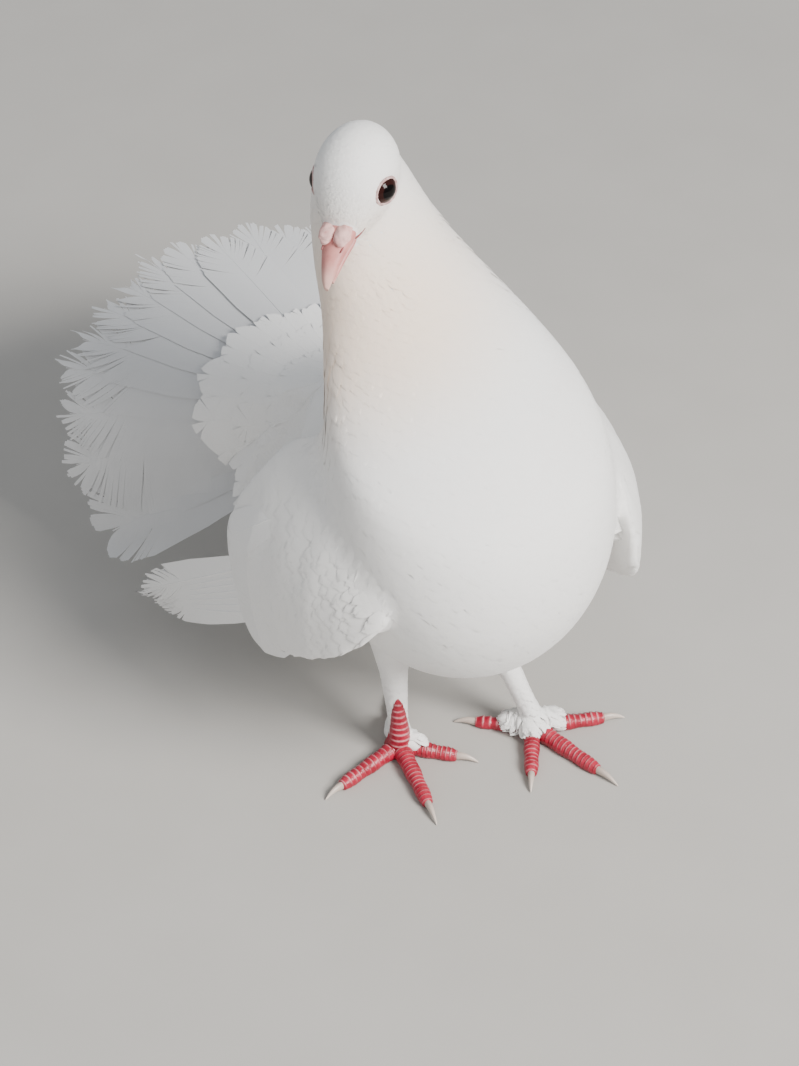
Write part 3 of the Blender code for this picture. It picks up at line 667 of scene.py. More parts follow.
def featherFaces():
    rows, columns = len(featherForm["along"]), len(featherForm["across"])
    faces = []
    for i in range(rows - 1):
        for j in range(columns - 1):
            a = i * columns + j
            faces += [(a, a + 1, a + columns + 1), (a, a + columns + 1, a + columns)]
    rim = list(range(columns)) + [i * columns + columns - 1 for i in range(1, rows)]
    rim += [(rows - 1) * columns + j for j in range(columns - 2, -1, -1)]
    rim += [i * columns for i in range(rows - 2, 0, -1)]
    faces += [(rim[(k + 1) % len(rim)], rim[k], rows * columns) for k in range(len(rim))]
    return np.array(faces)


patches = {"low": (-75.0, -60.0, 0.0), "size": 260.0, "fill": 0.31, "margin": 0.01, "feather": 0.003}


def patchMap(places, normals):
    # where a place on the skin lies on a flat layout of the skin's six sides, three to a row
    axis = np.abs(normals).argmax(1)
    positive = normals[np.arange(len(normals)), axis] > 0
    others = np.array(((1, 2), (0, 2), (0, 1)))[axis]
    flat = np.take_along_axis(places, others, 1) - np.array(patches["low"])[others]
    chart = axis * 2 + positive
    corner = np.stack([chart % 3, chart // 3], 1) / 3.0
    return corner + np.clip(flat / patches["size"], 0, 1) * patches["fill"] + patches["margin"]


def layFeathers(roots, normals, ways, lengths, rises, loose, rng):
    form = featherForm
    along, across = form["along"][None, :, None], form["across"][None, None, :]
    count, rows, columns = len(roots), along.size, across.size
    side = unit(np.cross(normals, ways))
    ways = unit(ways + side * rng.normal(0, form["turned"], (count, 1)))
    side = unit(np.cross(normals, ways))
    lengths = (lengths * rng.uniform(*form["lengths"], count))[:, None, None]
    widths = lengths * form["widthShare"] * rng.uniform(*form["widths"], (count, 1, 1))
    loose = loose[:, None, None]
    widths = widths / (1 + 0.8 * loose)
    rises = rises[:, None, None] * (1 + 1.6 * loose * rng.uniform(0.2, 1.0, (count, 1, 1)))
    ragged = rng.normal(0, form["ragged"], (count, rows, columns)) * (along > 0.7)
    spread = across * form["half"][None, :, None] * widths / 2
    reach = along * lengths * (1 - form["roundTip"] * across**2 * along) + ragged * lengths
    flat = roots[:, None, None] + ways[:, None, None] * reach[..., None]
    flat = flat + side[:, None, None] * spread[..., None]
    met, outward = np.zeros((2, count * rows * columns, 3))
    for i, place in enumerate(flat.reshape(-1, 3).tolist()):
        met[i], _, face, _ = skinTree.find_nearest(place)
        outward[i] = faceNormals[face]
    met, outward = met.reshape(flat.shape), outward.reshape(flat.shape)
    outward = unit(outward + outward.mean(axis=(1, 2), keepdims=True))
    lie = form["lie"][None, :, None] + 0.35 * loose * along**2
    height = rises * lie - form["cupped"] * rises * across**2 + rng.normal(0, form["offset"], (count, 1, 1))
    top = met + outward * height[..., None]
    depth = form["thick"][0] * rises[:, 0] + form["thick"][1]
    under = top.mean(axis=(1, 2)) - outward.mean(axis=(1, 2)) * depth
    verts = np.concatenate([top.reshape(count, -1, 3), under[:, None]], 1)
    own = np.stack(np.meshgrid(form["along"], form["across"] * 0.5 + 0.5, indexing="ij"), -1).reshape(-1, 2)
    own = np.concatenate([own, [[0.5, 0.5]]])
    patch = patchMap(roots, normals)[:, None] + (own - 0.5) * patches["feather"]
    return verts, np.broadcast_to(own, patch.shape), patch


def featherPiece(name, verts, own, patch, shade, finish):
    count, each = verts.shape[:2]
    corners = (featherFaces()[None] + np.arange(count)[:, None, None] * each).reshape(-1, 3)
    uvs = {"OFBake": patch.reshape(-1, 2), "vane": own.reshape(-1, 2)}
    piece = makeMesh(name, verts.reshape(-1, 3), corners, finish, uvs, {"shade": np.repeat(shade, each)}, 55)
    dress(piece, "feather")


# quills, the tail's and the wings' feathers, are built barb by barb
barb = {
    # a clump is loose or tight: how many barbs, how far it bends and is cut back, and how it draws together
    "looseShare": 0.3,
    "loose": {"clump": (4, 9), "bend": 1.3, "cut": 0.1, "drawn": 0.9},
    "tight": {"clump": (1, 4), "bend": 0.45, "cut": 0.05, "drawn": 0.6},
    "frayed": (0.70, 0.28),  # where fraying starts, and over what share it grows
    "point": 0.26,  # how much shorter a clump's outer barbs are
    "opening": (1.2, 3.0), "settle": 0.82,  # how wide a split opens, and how much of that the next barb keeps
    # the outline: share of the length, and half width as a share of the widest
    "outline": ((0.0, 0.1, 0.3, 0.55, 0.78, 0.88, 0.94, 0.98, 1.0),
                (0.25, 0.45, 0.72, 0.95, 1.0, 0.86, 0.58, 0.28, 0.04)),
}


def plume(place, length, halfWidths, rng, fray, make):
    # two webs of barbs and a shaft; place(s, c, h) gives points: a share s along, c mm across and h above
    strips, splits, thick, rows, shaft = (make[key] for key in ("strips", "splits", "thick", "rows", "shaft"))
    b = np.linspace(0, 1, rows)
    verts, faces, own, start = [], [], [], 0
    for side, width in zip((-1, 1), halfWidths):
        even = np.linspace(0, 1, strips + 1)
        edges = even + 0.3 * even * (1 - even)
        low, high = int(strips * 0.66), strips - 3
        openings = set(rng.choice(np.arange(low, high), min(splits, high - low), replace=False).tolist())
        clump, swing = 0, 0.0
        for i in range(strips):
            middle = (edges[i] + edges[i + 1]) / 2
            wild = fray * np.clip((middle - barb["frayed"][0]) / barb["frayed"][1], 0, 1) ** 1.3
            if clump == 0:
                kind = barb["loose" if rng.random() < barb["looseShare"] else "tight"]
                clump = int(min(rng.integers(*kind["clump"]), strips - i))
                heart, outer = (edges[i] + edges[i + clump]) / 2, edges[i + clump]
                bend = rng.normal(0, kind["bend"]) * wild
                cutBack = 1 - abs(rng.normal(0, kind["cut"])) * (0.03 + wild)
            clump -= 1
            shorter = 1 - barb["point"] * wild * abs(middle - heart) / max(outer - heart, 1e-6)
            swing *= barb["settle"]
            if i in openings:
                swing = rng.uniform(*barb["opening"]) * fray
            columns = []
            for edge in (edges[i], edges[i + 1]):
                tight = heart + (edge - heart) * (1 - min(0.95 * wild, kind["drawn"]) * b**2.6)
                root = 0.02 + 0.86 * tight
                end = 0.16 + 0.84 * tight
                s = root + (end - root) * b**1.12 * cutBack * shorter
                c = np.interp(end, *barb["outline"]) * width * b**0.9 * cutBack * shorter
                s = s + (bend * 0.9 + swing) * b**2.2 * 1.5 / length
                c = c - (bend * 0.5 + swing * 0.35) * b**2 * (c > 0.5)
                h = -0.4 * (c / max(width, 1)) ** 2 + bend * 0.22 * b**2
                columns.append((s, c * side, h))
            top = [place(s, c, h) for s, c, h in columns]
            under = [place(s, c, h - thick * (1 - 0.55 * b)) for s, c, h in columns]
            verts.append(np.stack([top[0], top[1], under[1], under[0]], 1).reshape(-1, 3))
            across = np.stack([b] * 4, 1)
            lengthwise = np.broadcast_to(edges[[i, i + 1, i + 1, i]], (rows, 4))
            own.append(np.stack([lengthwise, 0.5 + side * 0.5 * across], -1).reshape(-1, 2))
            barbFaces = [
                (r + k, r + (k + 1) % 4, r + 4 + (k + 1) % 4, r + 4 + k)
                for r in range(0, rows * 4 - 4, 4) for k in range(4)
            ]
            barbFaces += [(3, 2, 1, 0), tuple(range(rows * 4 - 4, rows * 4))]
            faces += [tuple(start + v for v in face[::side]) for face in barbFaces]
            start += rows * 4
    s = np.linspace(-0.02, 0.93, 16)
    radius = shaft * np.clip(1.05 - s, 0.15, 1)
    rings = np.stack([place(s, np.cos(a) * radius, np.sin(a) * radius * 0.7) for a in fullTurn(6)], 1)
    places, corners = tube(rings)
    verts.append(places)
    own.append(np.full((len(places), 2), 0.5))
    faces += [tuple(v + start for v in corner) for corner in corners]
    return np.concatenate(verts), faces, np.concatenate(own)


def quillPiece(name, quills, finish, cells):
    # each quill has its own cell of the bake's map
    verts, faces = joined([quill[:2] for quill in quills])
    own = [quill[2] for quill in quills]
    cell = [np.array((i % cells, i // cells), float) / cells for i in range(len(quills))]
    bake = [corner + (0.04 + 0.92 * np.clip(pairs, 0, 1)) / cells for corner, pairs in zip(cell, own)]
    uvs = {"OFBake": np.concatenate(bake), "vane": np.concatenate(own)}
    dress(makeMesh(name, verts, faces, finish, uvs, sharp=35), "feather")


tail = {
    "half": 9,  # feathers on each side of the middle one
    "length": 109.0, "width": 22.0, "start": 15.0, "spread": math.radians(58), "fall": math.radians(47),
    "step": 0.6,  # how far each lies below the next one inwards, in mm
    "sag": (5, 2.5, 4), "drawnIn": (61, 0.35),
    "frays": ((-9, -7, -5, -3, -1.5, 9), (0.4, 0.65, 1.05, 1.1, 0.35, 0.4)),  # by place in the fan
    "feather": {"strips": 70, "splits": 2, "thick": 0.14, "rows": 7, "shaft": 0.5},
    # each row of covers: how many, where they start and end, how wide and how far above the fan
    "coverRows": ((25, 16, 54, 15.0, 0.4), (21, 11, 42, 13.0, 0.7), (15, 7, 31, 11.0, 1.0)),
    "cover": {"strips": 24, "splits": 0, "thick": 0.1, "rows": 5, "shaft": 0.2},
    "underCover": {"strips": 18, "splits": 1, "thick": 0.16, "rows": 5, "shaft": 0.3},
}


def tailWay(angle):
    # the way a tail feather runs at an angle from the middle one: the fan's sides roll down
    angle = np.asarray(angle, float)
    share = np.minimum(np.abs(angle) / tail["spread"], 1)
    rolled = tail["fall"] * (0.35 * share**2 + 0.65 * share**4)
    wide = np.sin(angle)
    return np.stack([wide * np.cos(rolled), np.cos(angle), -np.abs(wide) * np.sin(rolled)], -1)


def rumpTop(x, y):
    # how high the tail's root reaches above a place, in mm
    rows = np.array(((7, 13, 10.5, -0.5),) + rumpRows).T
    wide, tall, drop = readRows(rows, y - tailRoot[1])
    aside = np.abs(x) / wide
    return tailRoot[2] - drop + tall * np.sqrt(np.clip(1 - aside**2, 0, 1)) - 30 * np.clip(aside - 1, 0, 9)


def tailPlace(angle, start, length, depth, draped=False):
    # feathers follow the fan's own curved surface, depth below its top; draped ones rest on the tail's root
    def place(s, c, h):
        s, c, h = np.broadcast_arrays(*(np.asarray(v, float) for v in (s, c, h)))
        reach = start + (length - start) * s
        turned = angle + c / reach
        way = tailWay(turned)
        up = unit(np.cross(unit(tailWay(turned + 0.02) - tailWay(turned - 0.02)), way))
        least, more, lift = tail["sag"]
        sag = (least + more * np.cos(1.5 * turned) ** 2) * (reach / 110) ** 2 - lift * reach / 110
        height = h - depth * np.minimum(0.55 + 1.5 * s, 1) + 1.0
        flat = tailRoot + way * reach[..., None] + up * height[..., None]
        flat[..., 2] -= sag
        limit, share = tail["drawnIn"]
        flat[..., 0] -= np.sign(flat[..., 0]) * share * np.maximum(np.abs(flat[..., 0]) - limit, 0)
        if draped:
            over = rumpTop(flat[..., 0], flat[..., 1]) + 0.5 - depth + h - flat[..., 2]
            flat[..., 2] += 0.5 * (over + np.sqrt(over**2 + 2.0))
        return flat
    return place


def makeTail(finish, coverFinish, rng):
    quills, halves = [], (tail["width"] / 2, tail["width"] / 2)
    for place in range(-tail["half"], tail["half"] + 1):
        share = place / tail["half"]
        angle = tail["spread"] * share + rng.normal(0, 0.008)
        length = tail["length"] * (1 + 0.045 * share**4) * rng.uniform(0.955 + 0.02 * abs(share), 1.01)
        depth = (abs(place) + (0.5 if place < 0 else 0)) * tail["step"]
        spot = tailPlace(angle, tail["start"], length, depth)
        quills.append(plume(spot, length, halves, rng, np.interp(place, *tail["frays"]), tail["feather"]))
    quillPiece("tailFeathers", quills, finish, 5)
    covers = []
    for count, start, end, width, height in tail["coverRows"]:
        for angle in np.linspace(-1.22, 1.22, count):
            angle = angle * tail["spread"] + rng.normal(0, 0.012)
            reach = end * rng.uniform(0.94, 1.06)
            spot = tailPlace(angle, start, reach, -height - 0.1 * rng.random(), True)
            covers.append(plume(spot, reach - start, (width / 2, width / 2), rng, 0.18, tail["cover"]))
        for angle in np.linspace(-1.1, 1.1, (count + 1) // 2):
            spot = tailPlace(angle * tail["spread"], start, end * 0.9, 9.5 + 0.5 * height)
            halves = (width * 0.7, width * 0.7)
            covers.append(plume(spot, end * 0.9 - start, halves, rng, 0.3, tail["underCover"]))
    quillPiece("tailCovers", covers, coverFinish, 10)


wingQuills = {
    # roots and tips in mm: how far out, back and up, for the lowest and the highest
    "primaries": {"count": 7, "length": 62, "halves": (5.0, 6.5), "roots": ((46.5, 34, 41), (43.0, 37, 58)),
                  "tips": ((59.5, 87, 10), (62.5, 94, 11)), "bow": 2.5},
    # roots and tips along the wing; flare: how far the lowest tips stand off, and how soon that ends going up
    # draw: how far the highest tips are drawn forward on each side; slope: their share of the wing's slope
    "secondaries": {"count": 10, "length": 52, "roots": ((34, 42), (36, 88)), "tips": ((80, 27), (84, 62)),
                    "lifts": (-1.9, -0.6, 0.0, 0.2, 0.3), "flare": (1.0, 1.6), "slope": 1.0,
                    "draw": {1: 0.0, -1: 24.0}},
    "coverts": {"count": 11, "length": 52, "roots": ((6, 50), (12, 104)), "tips": ((53, 31), (57, 90)),
                "lifts": (-2.3, -1.1, -0.1, 0.35, 0.45), "flare": (0.3, 2.0), "slope": 0.4,
                "draw": {1: 0.0, -1: 15.0}},
    "half": 7.0, "tilt": 0.25, "flared": np.array((0, 0, 1.5, 4.8, 6.6)),
    "primary": {"strips": 34, "splits": 4, "thick": 0.16, "rows": 7, "shaft": 0.5},
    "feather": {"strips": 26, "splits": 0, "thick": 0.1, "rows": 7, "shaft": 0.25},
}


def wingPlace(side, root, tip, lifts):
    root = np.array(root)
    run = np.array(tip, float) - root
    across = unit(np.array((-run[1], run[0])))
    if across[1] < 0:
        across = -across

    def place(s, c, h):
        s, c, h = np.broadcast_arrays(*(np.asarray(v, float) for v in (s, c, h)))
        spot = root + run * s[..., None] + across * c[..., None]
        lift = np.interp(s, (0, 0.25, 0.6, 0.87, 1.0), lifts)
        lift = lift - wingQuills["tilt"] * c / wingQuills["half"] * np.minimum(4 * s, 1)
        return wingPoint(side, spot[..., 0], spot[..., 1], lift + h)
    return place


def primaryPlace(side, root, tip):
    root, tip = (np.array((side * spot[0], *spot[1:]), float) for spot in (root, tip))
    run = unit(tip - root)
    across = unit(np.cross(run, (float(side), 0, 0)))
    out = unit(np.cross(across, run))
    if out[0] * side < 0:
        out = -out

    def place(s, c, h):
        s, c, h = np.broadcast_arrays(*(np.asarray(v, float) for v in (s, c, h)))
        bow = wingQuills["primaries"]["bow"] * np.sin(np.pi * np.clip(s, 0, 1))
        return root + (tip - root) * s[..., None] + across * c[..., None] + out * (bow + h)[..., None]
    return place


def mixed(a, b, share):
    return tuple(p + (q - p) * share for p, q in zip(a, b))


def makeWingQuills(name, side, finish, rng):
    quills, slope = [], wing["slope"][side]
    row = wingQuills["primaries"]
    for share in np.arange(row["count"]) / (row["count"] - 1):
        spot = primaryPlace(side, mixed(*row["roots"], share), mixed(*row["tips"], share))
        quills.append(plume(spot, row["length"], row["halves"], rng, 0.9, wingQuills["primary"]))
    halves = (wingQuills["half"], wingQuills["half"])
    for row in (wingQuills["secondaries"], wingQuills["coverts"]):
        for share in np.arange(row["count"]) / (row["count"] - 1):
            much, fades = row["flare"]
            lifts = np.array(row["lifts"]) + much * max(1 - fades * share, 0) * wingQuills["flared"]
            root, tip = mixed(*row["roots"], share), mixed(*row["tips"], share)
            root = (root[0], root[1] - slope * row["slope"] * share**2)
            drawn = row["draw"][side] * share**1.5
            tip = (tip[0] - drawn + rng.normal(0, 0.8), tip[1] - slope * 1.75 * share**1.5)
            spot = wingPlace(side, root, tip, lifts)
            quills.append(plume(spot, row["length"], halves, rng, 0.25, wingQuills["feather"]))
    quillPiece(name, quills, finish, 6)


# the eyes and their bare lids, in mm
eye = {
    "radius": 4.8, "side": 7.8, "bulge": 0.15, "forward": 0.36, "up": 0.16,
    "lidReach": 3.75, "lidTall": 0.95, "lidWide": 0.42, "lidHigh": 0.36, "lidProud": 0.08,
}


def eyeAxes(side):
    # the eye's middle, the way it looks, and the ways along the head and up from it
    look = unit(leftward * side + ahead * eye["forward"] + crownward * eye["up"])
    along = unit(ahead - look * (ahead @ look))
    up = np.cross(look, along)
    centre = headPose["eyeLine"] + leftward * side * eye["side"]
    return centre, look, along, up if up @ crownward > 0 else -up


def makeEye(name, side, ballFinish, lidFinish):
    centre, look, along, up = eyeAxes(side)
    angle = fullTurn(40)
    around = along * np.cos(angle)[:, None] + up * np.sin(angle)[:, None]
    fromPole = np.radians(np.linspace(2, 178, 36))
    radius = eye["radius"] + eye["bulge"] * np.exp(-((fromPole / 0.5) ** 2))
    wide, deep = (np.sin(fromPole) * radius)[:, None, None], (np.cos(fromPole) * radius)[:, None, None]
    pole = np.concatenate([np.repeat(fromPole, 40), (0, np.pi)])
    shape = tube(centre + (around * wide + look * deep))
    ball = closedMesh("eyeball" + name, shape, ballFinish, {"pole": pole})
    dress(ball, "eye", "eye_" + name.lower())
    # the lid lies where the ball leaves the skin
    reach = eye["lidReach"] * (1 + 0.09 * np.abs(np.cos(angle)) ** 6)
    out = along * (np.cos(angle) * reach)[:, None] + up * (np.sin(angle) * reach * eye["lidTall"])[:, None]
    height = []
    for step in out:
        met = skinTree.ray_cast(Vector(centre + step + look * 12), Vector(-look), 12)[0]
        onBall = math.sqrt(max(eye["radius"] ** 2 - step @ step, 0))
        height.append(onBall if met is None else max(onBall, (np.array(met) - centre) @ look))
    height = np.array(height)
    for _ in range(3):
        height = (np.roll(height, 1) + 2 * height + np.roll(height, -1)) / 4
    spine = centre + out + look * (height + eye["lidProud"])[:, None]
    turned = fullTurn(12)
    pebbled = 1 + 0.10 * np.sin(angle * 17) + 0.06 * np.sin(angle * 29 + 1)
    wide = (np.cos(turned) * eye["lidWide"])[None, :, None]
    high = (np.sin(turned) * eye["lidHigh"])[None, :, None]
    rings = spine[:, None] + (unit(out)[:, None] * wide + look * high) * pebbled[:, None, None]
    count = len(turned)
    i, j = np.meshgrid(np.arange(len(angle)), np.arange(count), indexing="ij")
    nextI, nextJ = (i + 1) % len(angle), (j + 1) % count
    quads = np.stack([i * count + j, nextI * count + j, nextI * count + nextJ, i * count + nextJ], -1)
    lid = closedMesh("lid" + name, (rings.reshape(-1, 3), quads.reshape(-1, 4).tolist()), lidFinish)
    dress(lid, "bill")


# rows of the bill: forward, middle height, half width and half height in mm on the head's own directions
bill = {
    "upper": ((10.5, -3.4, 3.6, 2.6), (13, -3.8, 4.8, 3.2), (15.5, -4.3, 4.6, 3.0), (18.5, -5.0, 3.7, 2.5),
              (22, -6.0, 2.8, 2.0), (25, -7.1, 2.0, 1.65), (27.2, -8.3, 1.35, 1.4), (28.6, -9.6, 0.6, 0.9)),
    "lower": ((10.5, -7.6, 3.2, 1.4), (13.5, -8.0, 3.6, 1.4), (17, -8.5, 2.9, 1.25), (20.5, -9.1, 2.15, 1.1),
              (23.6, -9.9, 1.5, 0.85), (25.6, -10.8, 0.8, 0.6)),
    "root": 10.5, "length": 18, "keel": {"upper": 0.2, "lower": 0.0},
    # centre and radii: forward, left and up
    "cere": ((15.2, 2.25, -2.0), (3.7, 2.45, 1.75)), "nostril": ((18.6, 2.9, -3.75), (1.5, 0.34, 0.2)),
    # the corner of the mouth, from the bill's edge back along the skin, and how thick its line is
    "mouth": ((14.4, 13.2, 12.0, 10.6), (4.6, 5.2, 5.9, 6.5), (-6.4, -6.0, -5.4, -4.6)),
    "mouthRadius": ((0, 0.3, 1), (0.42, 0.36, 0.1)), "mouthProud": 0.12,
}


def billHalf(rows, keel):
    rows = np.asarray(rows, float)
    table = smoothTable(rows, np.linspace(0, len(rows) - 1, 46))
    forward, height, wide, tall = (column[:, None] for column in table.T)
    angle = fullTurn(32)[None]
    side, lift = np.cos(angle), np.sin(angle)
    side = side * (1 - keel * np.clip(lift, 0, 1) ** 2)
    share = np.repeat((table[:, 0] - bill["root"]) / bill["length"], 32)
    rings = headPoint(forward + 0 * side, side * wide, height + lift * tall)
    return tube(rings), np.concatenate([share, (0.0, 1.0)])


def blobs(centre, radii, lumps, seeds):
    # a closed ellipsoid with soft lumps on each side of the head
    down, angle = np.radians(np.linspace(4, 176, 26))[:, None], fullTurn(36)[None]
    ring = np.sin(down)
    ball = np.stack([np.cos(down) + 0 * angle, ring * np.cos(angle), ring * np.sin(angle)], -1)
    made = []
    for side, seed in zip((1, -1), seeds):
        rng = np.random.default_rng(seed)
        size = np.ones(ball.shape[:2])
        for _ in range(7):
            size += lumps * np.sin(ball @ rng.normal(0, 5.0, 3) + rng.uniform(0, 6)) / 3
        forward, left, up = np.moveaxis(ball * size[..., None] * np.array(radii), -1, 0)
        made.append(tube(headPoint(centre[0] + forward, side * centre[1] + left, centre[2] + up)))
    return made


def makeBill(hornSkin, cereSkin, gapeRedAndSlitShade):
    for name in ("upper", "lower"):
        shape, share = billHalf(bill[name], bill["keel"][name])
        half = closedMesh("bill" + name.title(), shape, hornSkin, {"along": share}, 50)
        dress(half, "bill", "bill_" + name)
    dress(closedMesh("cere", joined(blobs(*bill["cere"], 0.09, (4, 2))), cereSkin), "bill")
    # the nostrils are dark slits: painted shade in their openings
    slits = blobs(*bill["nostril"], 0.0, (1, 1))
    forward, left, up = bill["mouth"]
    for side in (1, -1):
        met = []
        for spot in headPoint(forward, np.array(left) * side, up):
            point, normal, _, _ = skinTree.find_nearest(Vector(spot))
            met.append(np.array(point) + np.array(normal) * bill["mouthProud"])
        met = smoothTable(met, np.linspace(0, 3, 16))
        radius = np.interp(np.linspace(0, 1, 16), *bill["mouthRadius"])
        flat = crownward * np.cos(fullTurn(10))[:, None] + leftward * np.sin(fullTurn(10))[:, None]
        slits.append(tube(met[:, None] + flat * radius[:, None, None]))
    dress(closedMesh("nostrilsAndGape", joined(slits), gapeRedAndSlitShade), "bill")


def bareFace(places, margin):
    # true where a place lies in the bill or its cere
    local = places - headPose["eyeLine"]
    forward, left, height = local @ ahead, local @ leftward, local @ crownward
    bare = np.zeros(len(places), bool)
    for rows in (bill["upper"], bill["lower"]):
        middle, wide, tall = readRows(np.array(rows).T, forward)
        inside = (left / (wide + margin)) ** 2 + ((height - middle) / (tall + margin)) ** 2 < 1
        bare |= inside & (forward > 10.0)
    centre, radii = bill["cere"]
    for side in (1, -1):
        off = np.stack([forward - centre[0], left - side * centre[1], height - centre[2]], 1)
        bare |= ((off / (np.array(radii) + margin)) ** 2).sum(1) < 1
    return bare


# the scaly feet and the claws, in mm
scale = {
    "around": 20, "steps": 9,  # points round a toe, and rings along each scute
    "lift": 0.42, "shankLift": 0.34, "shankScutes": 9,
    "end": {"middle": 1.75, "outer": 1.75, "inner": 1.75, "hind": 1.6},  # a toe's radius at its end
    "claw": {"radius": 1.35, "length": {"middle": 8.0, "outer": 6.5, "inner": 6.5, "hind": 6.5}, "flat": 0.8},
    "clawTaper": ((0, 0.25, 0.5, 0.75, 0.93, 0.97, 1.0), (1, 0.86, 0.66, 0.42, 0.2, 0.13, 0.03)),
    "ankle": ((0, 1.2, 2.5, 3.6, 4.6, 5.8, 7.0), ((0, 2.5, 4.6, 7.0), (4.2, 4.4, 3.6, 3.1))),
}


def scuteTube(centres, radii, sideways, up, phase, lift, ground=None):
    # rings along a toe: each scute rises steeply over the last one and slopes away; its edge is marked
    angle = fullTurn(scale["around"])
    top = np.clip(np.sin(angle), 0, 1)
    saw = np.where(phase < 0, 0, np.clip(1 - (phase % 1) / 0.9, 0, 1) ** 0.8)
    reach = radii[:, None] + lift * saw[:, None] * (0.3 + 0.7 * top)
    across, high = (np.cos(angle) * reach)[..., None], (np.sin(angle) * reach)[..., None]
    rings = centres[:, None] + sideways * across + up * high
    if ground is not None:
        rings[..., 2] = np.maximum(rings[..., 2], ground)
    near = np.where(phase < 0, 0, np.exp(-(((phase % 1) - 0.06) / 0.13) ** 2))
    edge = near[:, None] * np.clip(top * 1.6 - 0.25, 0, 1)
    return *tube(rings), np.concatenate([edge.ravel(), (0, 0)])


def toeTube(side, tip, scutes, thick, endRadius):
    start = foot["spots"][side]
    tip = np.array((*tip, 0.0))
    length = np.linalg.norm(tip - start)
    way = (tip - start) / length
    straight, rounded = 0.97, 0.045  # shares of the toe before its rounded end, and in it
    tipShare = straight + rounded * np.sin(np.linspace(0.2, 1.57, 7))
    share = np.concatenate([np.linspace(0, straight, scutes * scale["steps"]), tipShare])
    within = np.minimum(share, 1)
    taper = thick + (endRadius - thick) * within
    closing = np.clip(1 - ((share - straight) / 0.047) ** 2, 0.02, 1)
    closing = closing * (share > straight) + (share <= straight)
    radius = (taper + 0.24 * np.sin(within * np.pi * 3) ** 2) * np.sqrt(closing)
    centres = start + way * (length * share)[:, None]
    centres[:, 2] = taper * 0.86
    phase = np.where(share < 0.1, -1, (share - 0.1) / 0.88 * scutes)
    places, faces, edge = scuteTube(centres, radius, beside(way), upright, phase, scale["lift"], 0.0)
    return places + stance, faces, edge


def clawTube(side, toe, tip, endRadius):
    tip = np.array((*tip, 0.0))
    way = unit(tip - foot["spots"][side])
    radius, length = scale["claw"]["radius"], scale["claw"]["length"][toe]
    begin = tip + way * 0.3 + np.array((0, 0, endRadius * 0.95))
    share = np.concatenate([np.linspace(-0.12, 0.9, 22), np.linspace(0.93, 1.0, 5)])
    within = np.clip(share, 0, 1)
    centres = begin + way * (length * share)[:, None]
    centres[:, 2] += (0.22 * radius - begin[2]) * within**1.5 + 0.5 * np.sin(np.pi * within)
    size = np.interp(within, *scale["clawTaper"]) * radius
    tilt = np.radians(10 - 50 * within)[:, None]
    up = upright * np.cos(tilt) - way * np.sin(tilt)
    angle = fullTurn(16)
    across = beside(way) * (np.cos(angle) * scale["claw"]["flat"])[None, :, None]
    rings = centres[:, None] + (across + up[:, None] * np.sin(angle)[None, :, None]) * size[:, None, None]
    rings[..., 2] = np.maximum(rings[..., 2], 0)
    places, faces = tube(rings)
    return places + stance, faces, np.concatenate([np.repeat(within, 16), (0.0, 1.0)])


def shankRun(side):
    # the red scaly strip up the front of the bird's right shank; s is a share of it, as in legLine
    centre, _ = legLine(side)
    s = np.linspace(-0.10, 0.40, 70)
    place = np.stack([np.interp(s, np.linspace(-0.02, 2.0, 40), centre[:, k]) for k in range(3)], 1)
    front = unit(np.array((-0.30, -1.0, 0.12)))
    radii = np.interp(s, (-0.10, 0.0, 0.12, 0.26, 0.36, 0.4), (3.6, 3.2, 2.7, 2.0, 1.1, 0.2))
    centres = place + front * np.interp(s, (-0.1, 0, 0.2, 0.4), (0.6, 1.2, 2.2, 3.2))[:, None]
    centres[:, 2] += np.minimum(s + 0.02, 0) * 40
    phase = (0.4 - s) / 0.5 * scale["shankScutes"]
    return scuteTube(centres, radii, unit(np.cross(front, upright)), front, phase, scale["shankLift"])


def makeFoot(side, redSkin, clawHorn):
    heights, radii = scale["ankle"]
    heights = np.array(heights)
    rings = foot["spots"][side] + stance + legCircle(28) * np.interp(heights, *radii)[:, None, None]
    places, faces = tube(rings + upright * heights[:, None, None])
    parts, claws = [(places, faces, np.zeros(len(places)))], []
    for toe, tip, scutes, thick in foot["toes"][side]:
        endRadius = scale["end"][toe]
        parts.append(toeTube(side, tip, scutes, thick, endRadius))
        claws.append(clawTube(side, toe, tip, endRadius))
    if side == "right":
        parts.append(shankRun(side))
    shape, edge = joined([part[:2] for part in parts]), np.concatenate([part[2] for part in parts])
    dress(closedMesh("foot" + side.title(), shape, redSkin, {"edge": edge}), "toe_skin", "foot_" + side)
    names = [f"claw_{side}_{toe[0]}" for toe in foot["toes"][side]]
    shape, along = joined([claw[:2] for claw in claws]), np.concatenate([claw[2] for claw in claws])
    dress(closedMesh("claws" + side.title(), shape, clawHorn, {"along": along}), "claw", *names)


# finishes of the coat
plumage = {
    # the bluish grey is both the barbs' darker streaks and painted shade on the tail's quills
    "white": ((0.82, 0.815, 0.80), (0.88, 0.875, 0.86)), "dust": (0.66, 0.63, 0.59),
    "shadow": (0.74, 0.73, 0.71), "barbGreyAndShade": (0.62, 0.645, 0.69), "through": (0.86, 0.85, 0.82),
    # the peach stain on the throat: its middle and reach in metres, its colour and its strength
    "throat": ((-0.018, -0.044, 0.157), 0.042), "peach": (0.87, 0.71, 0.57), "peachStrength": 0.95,
}


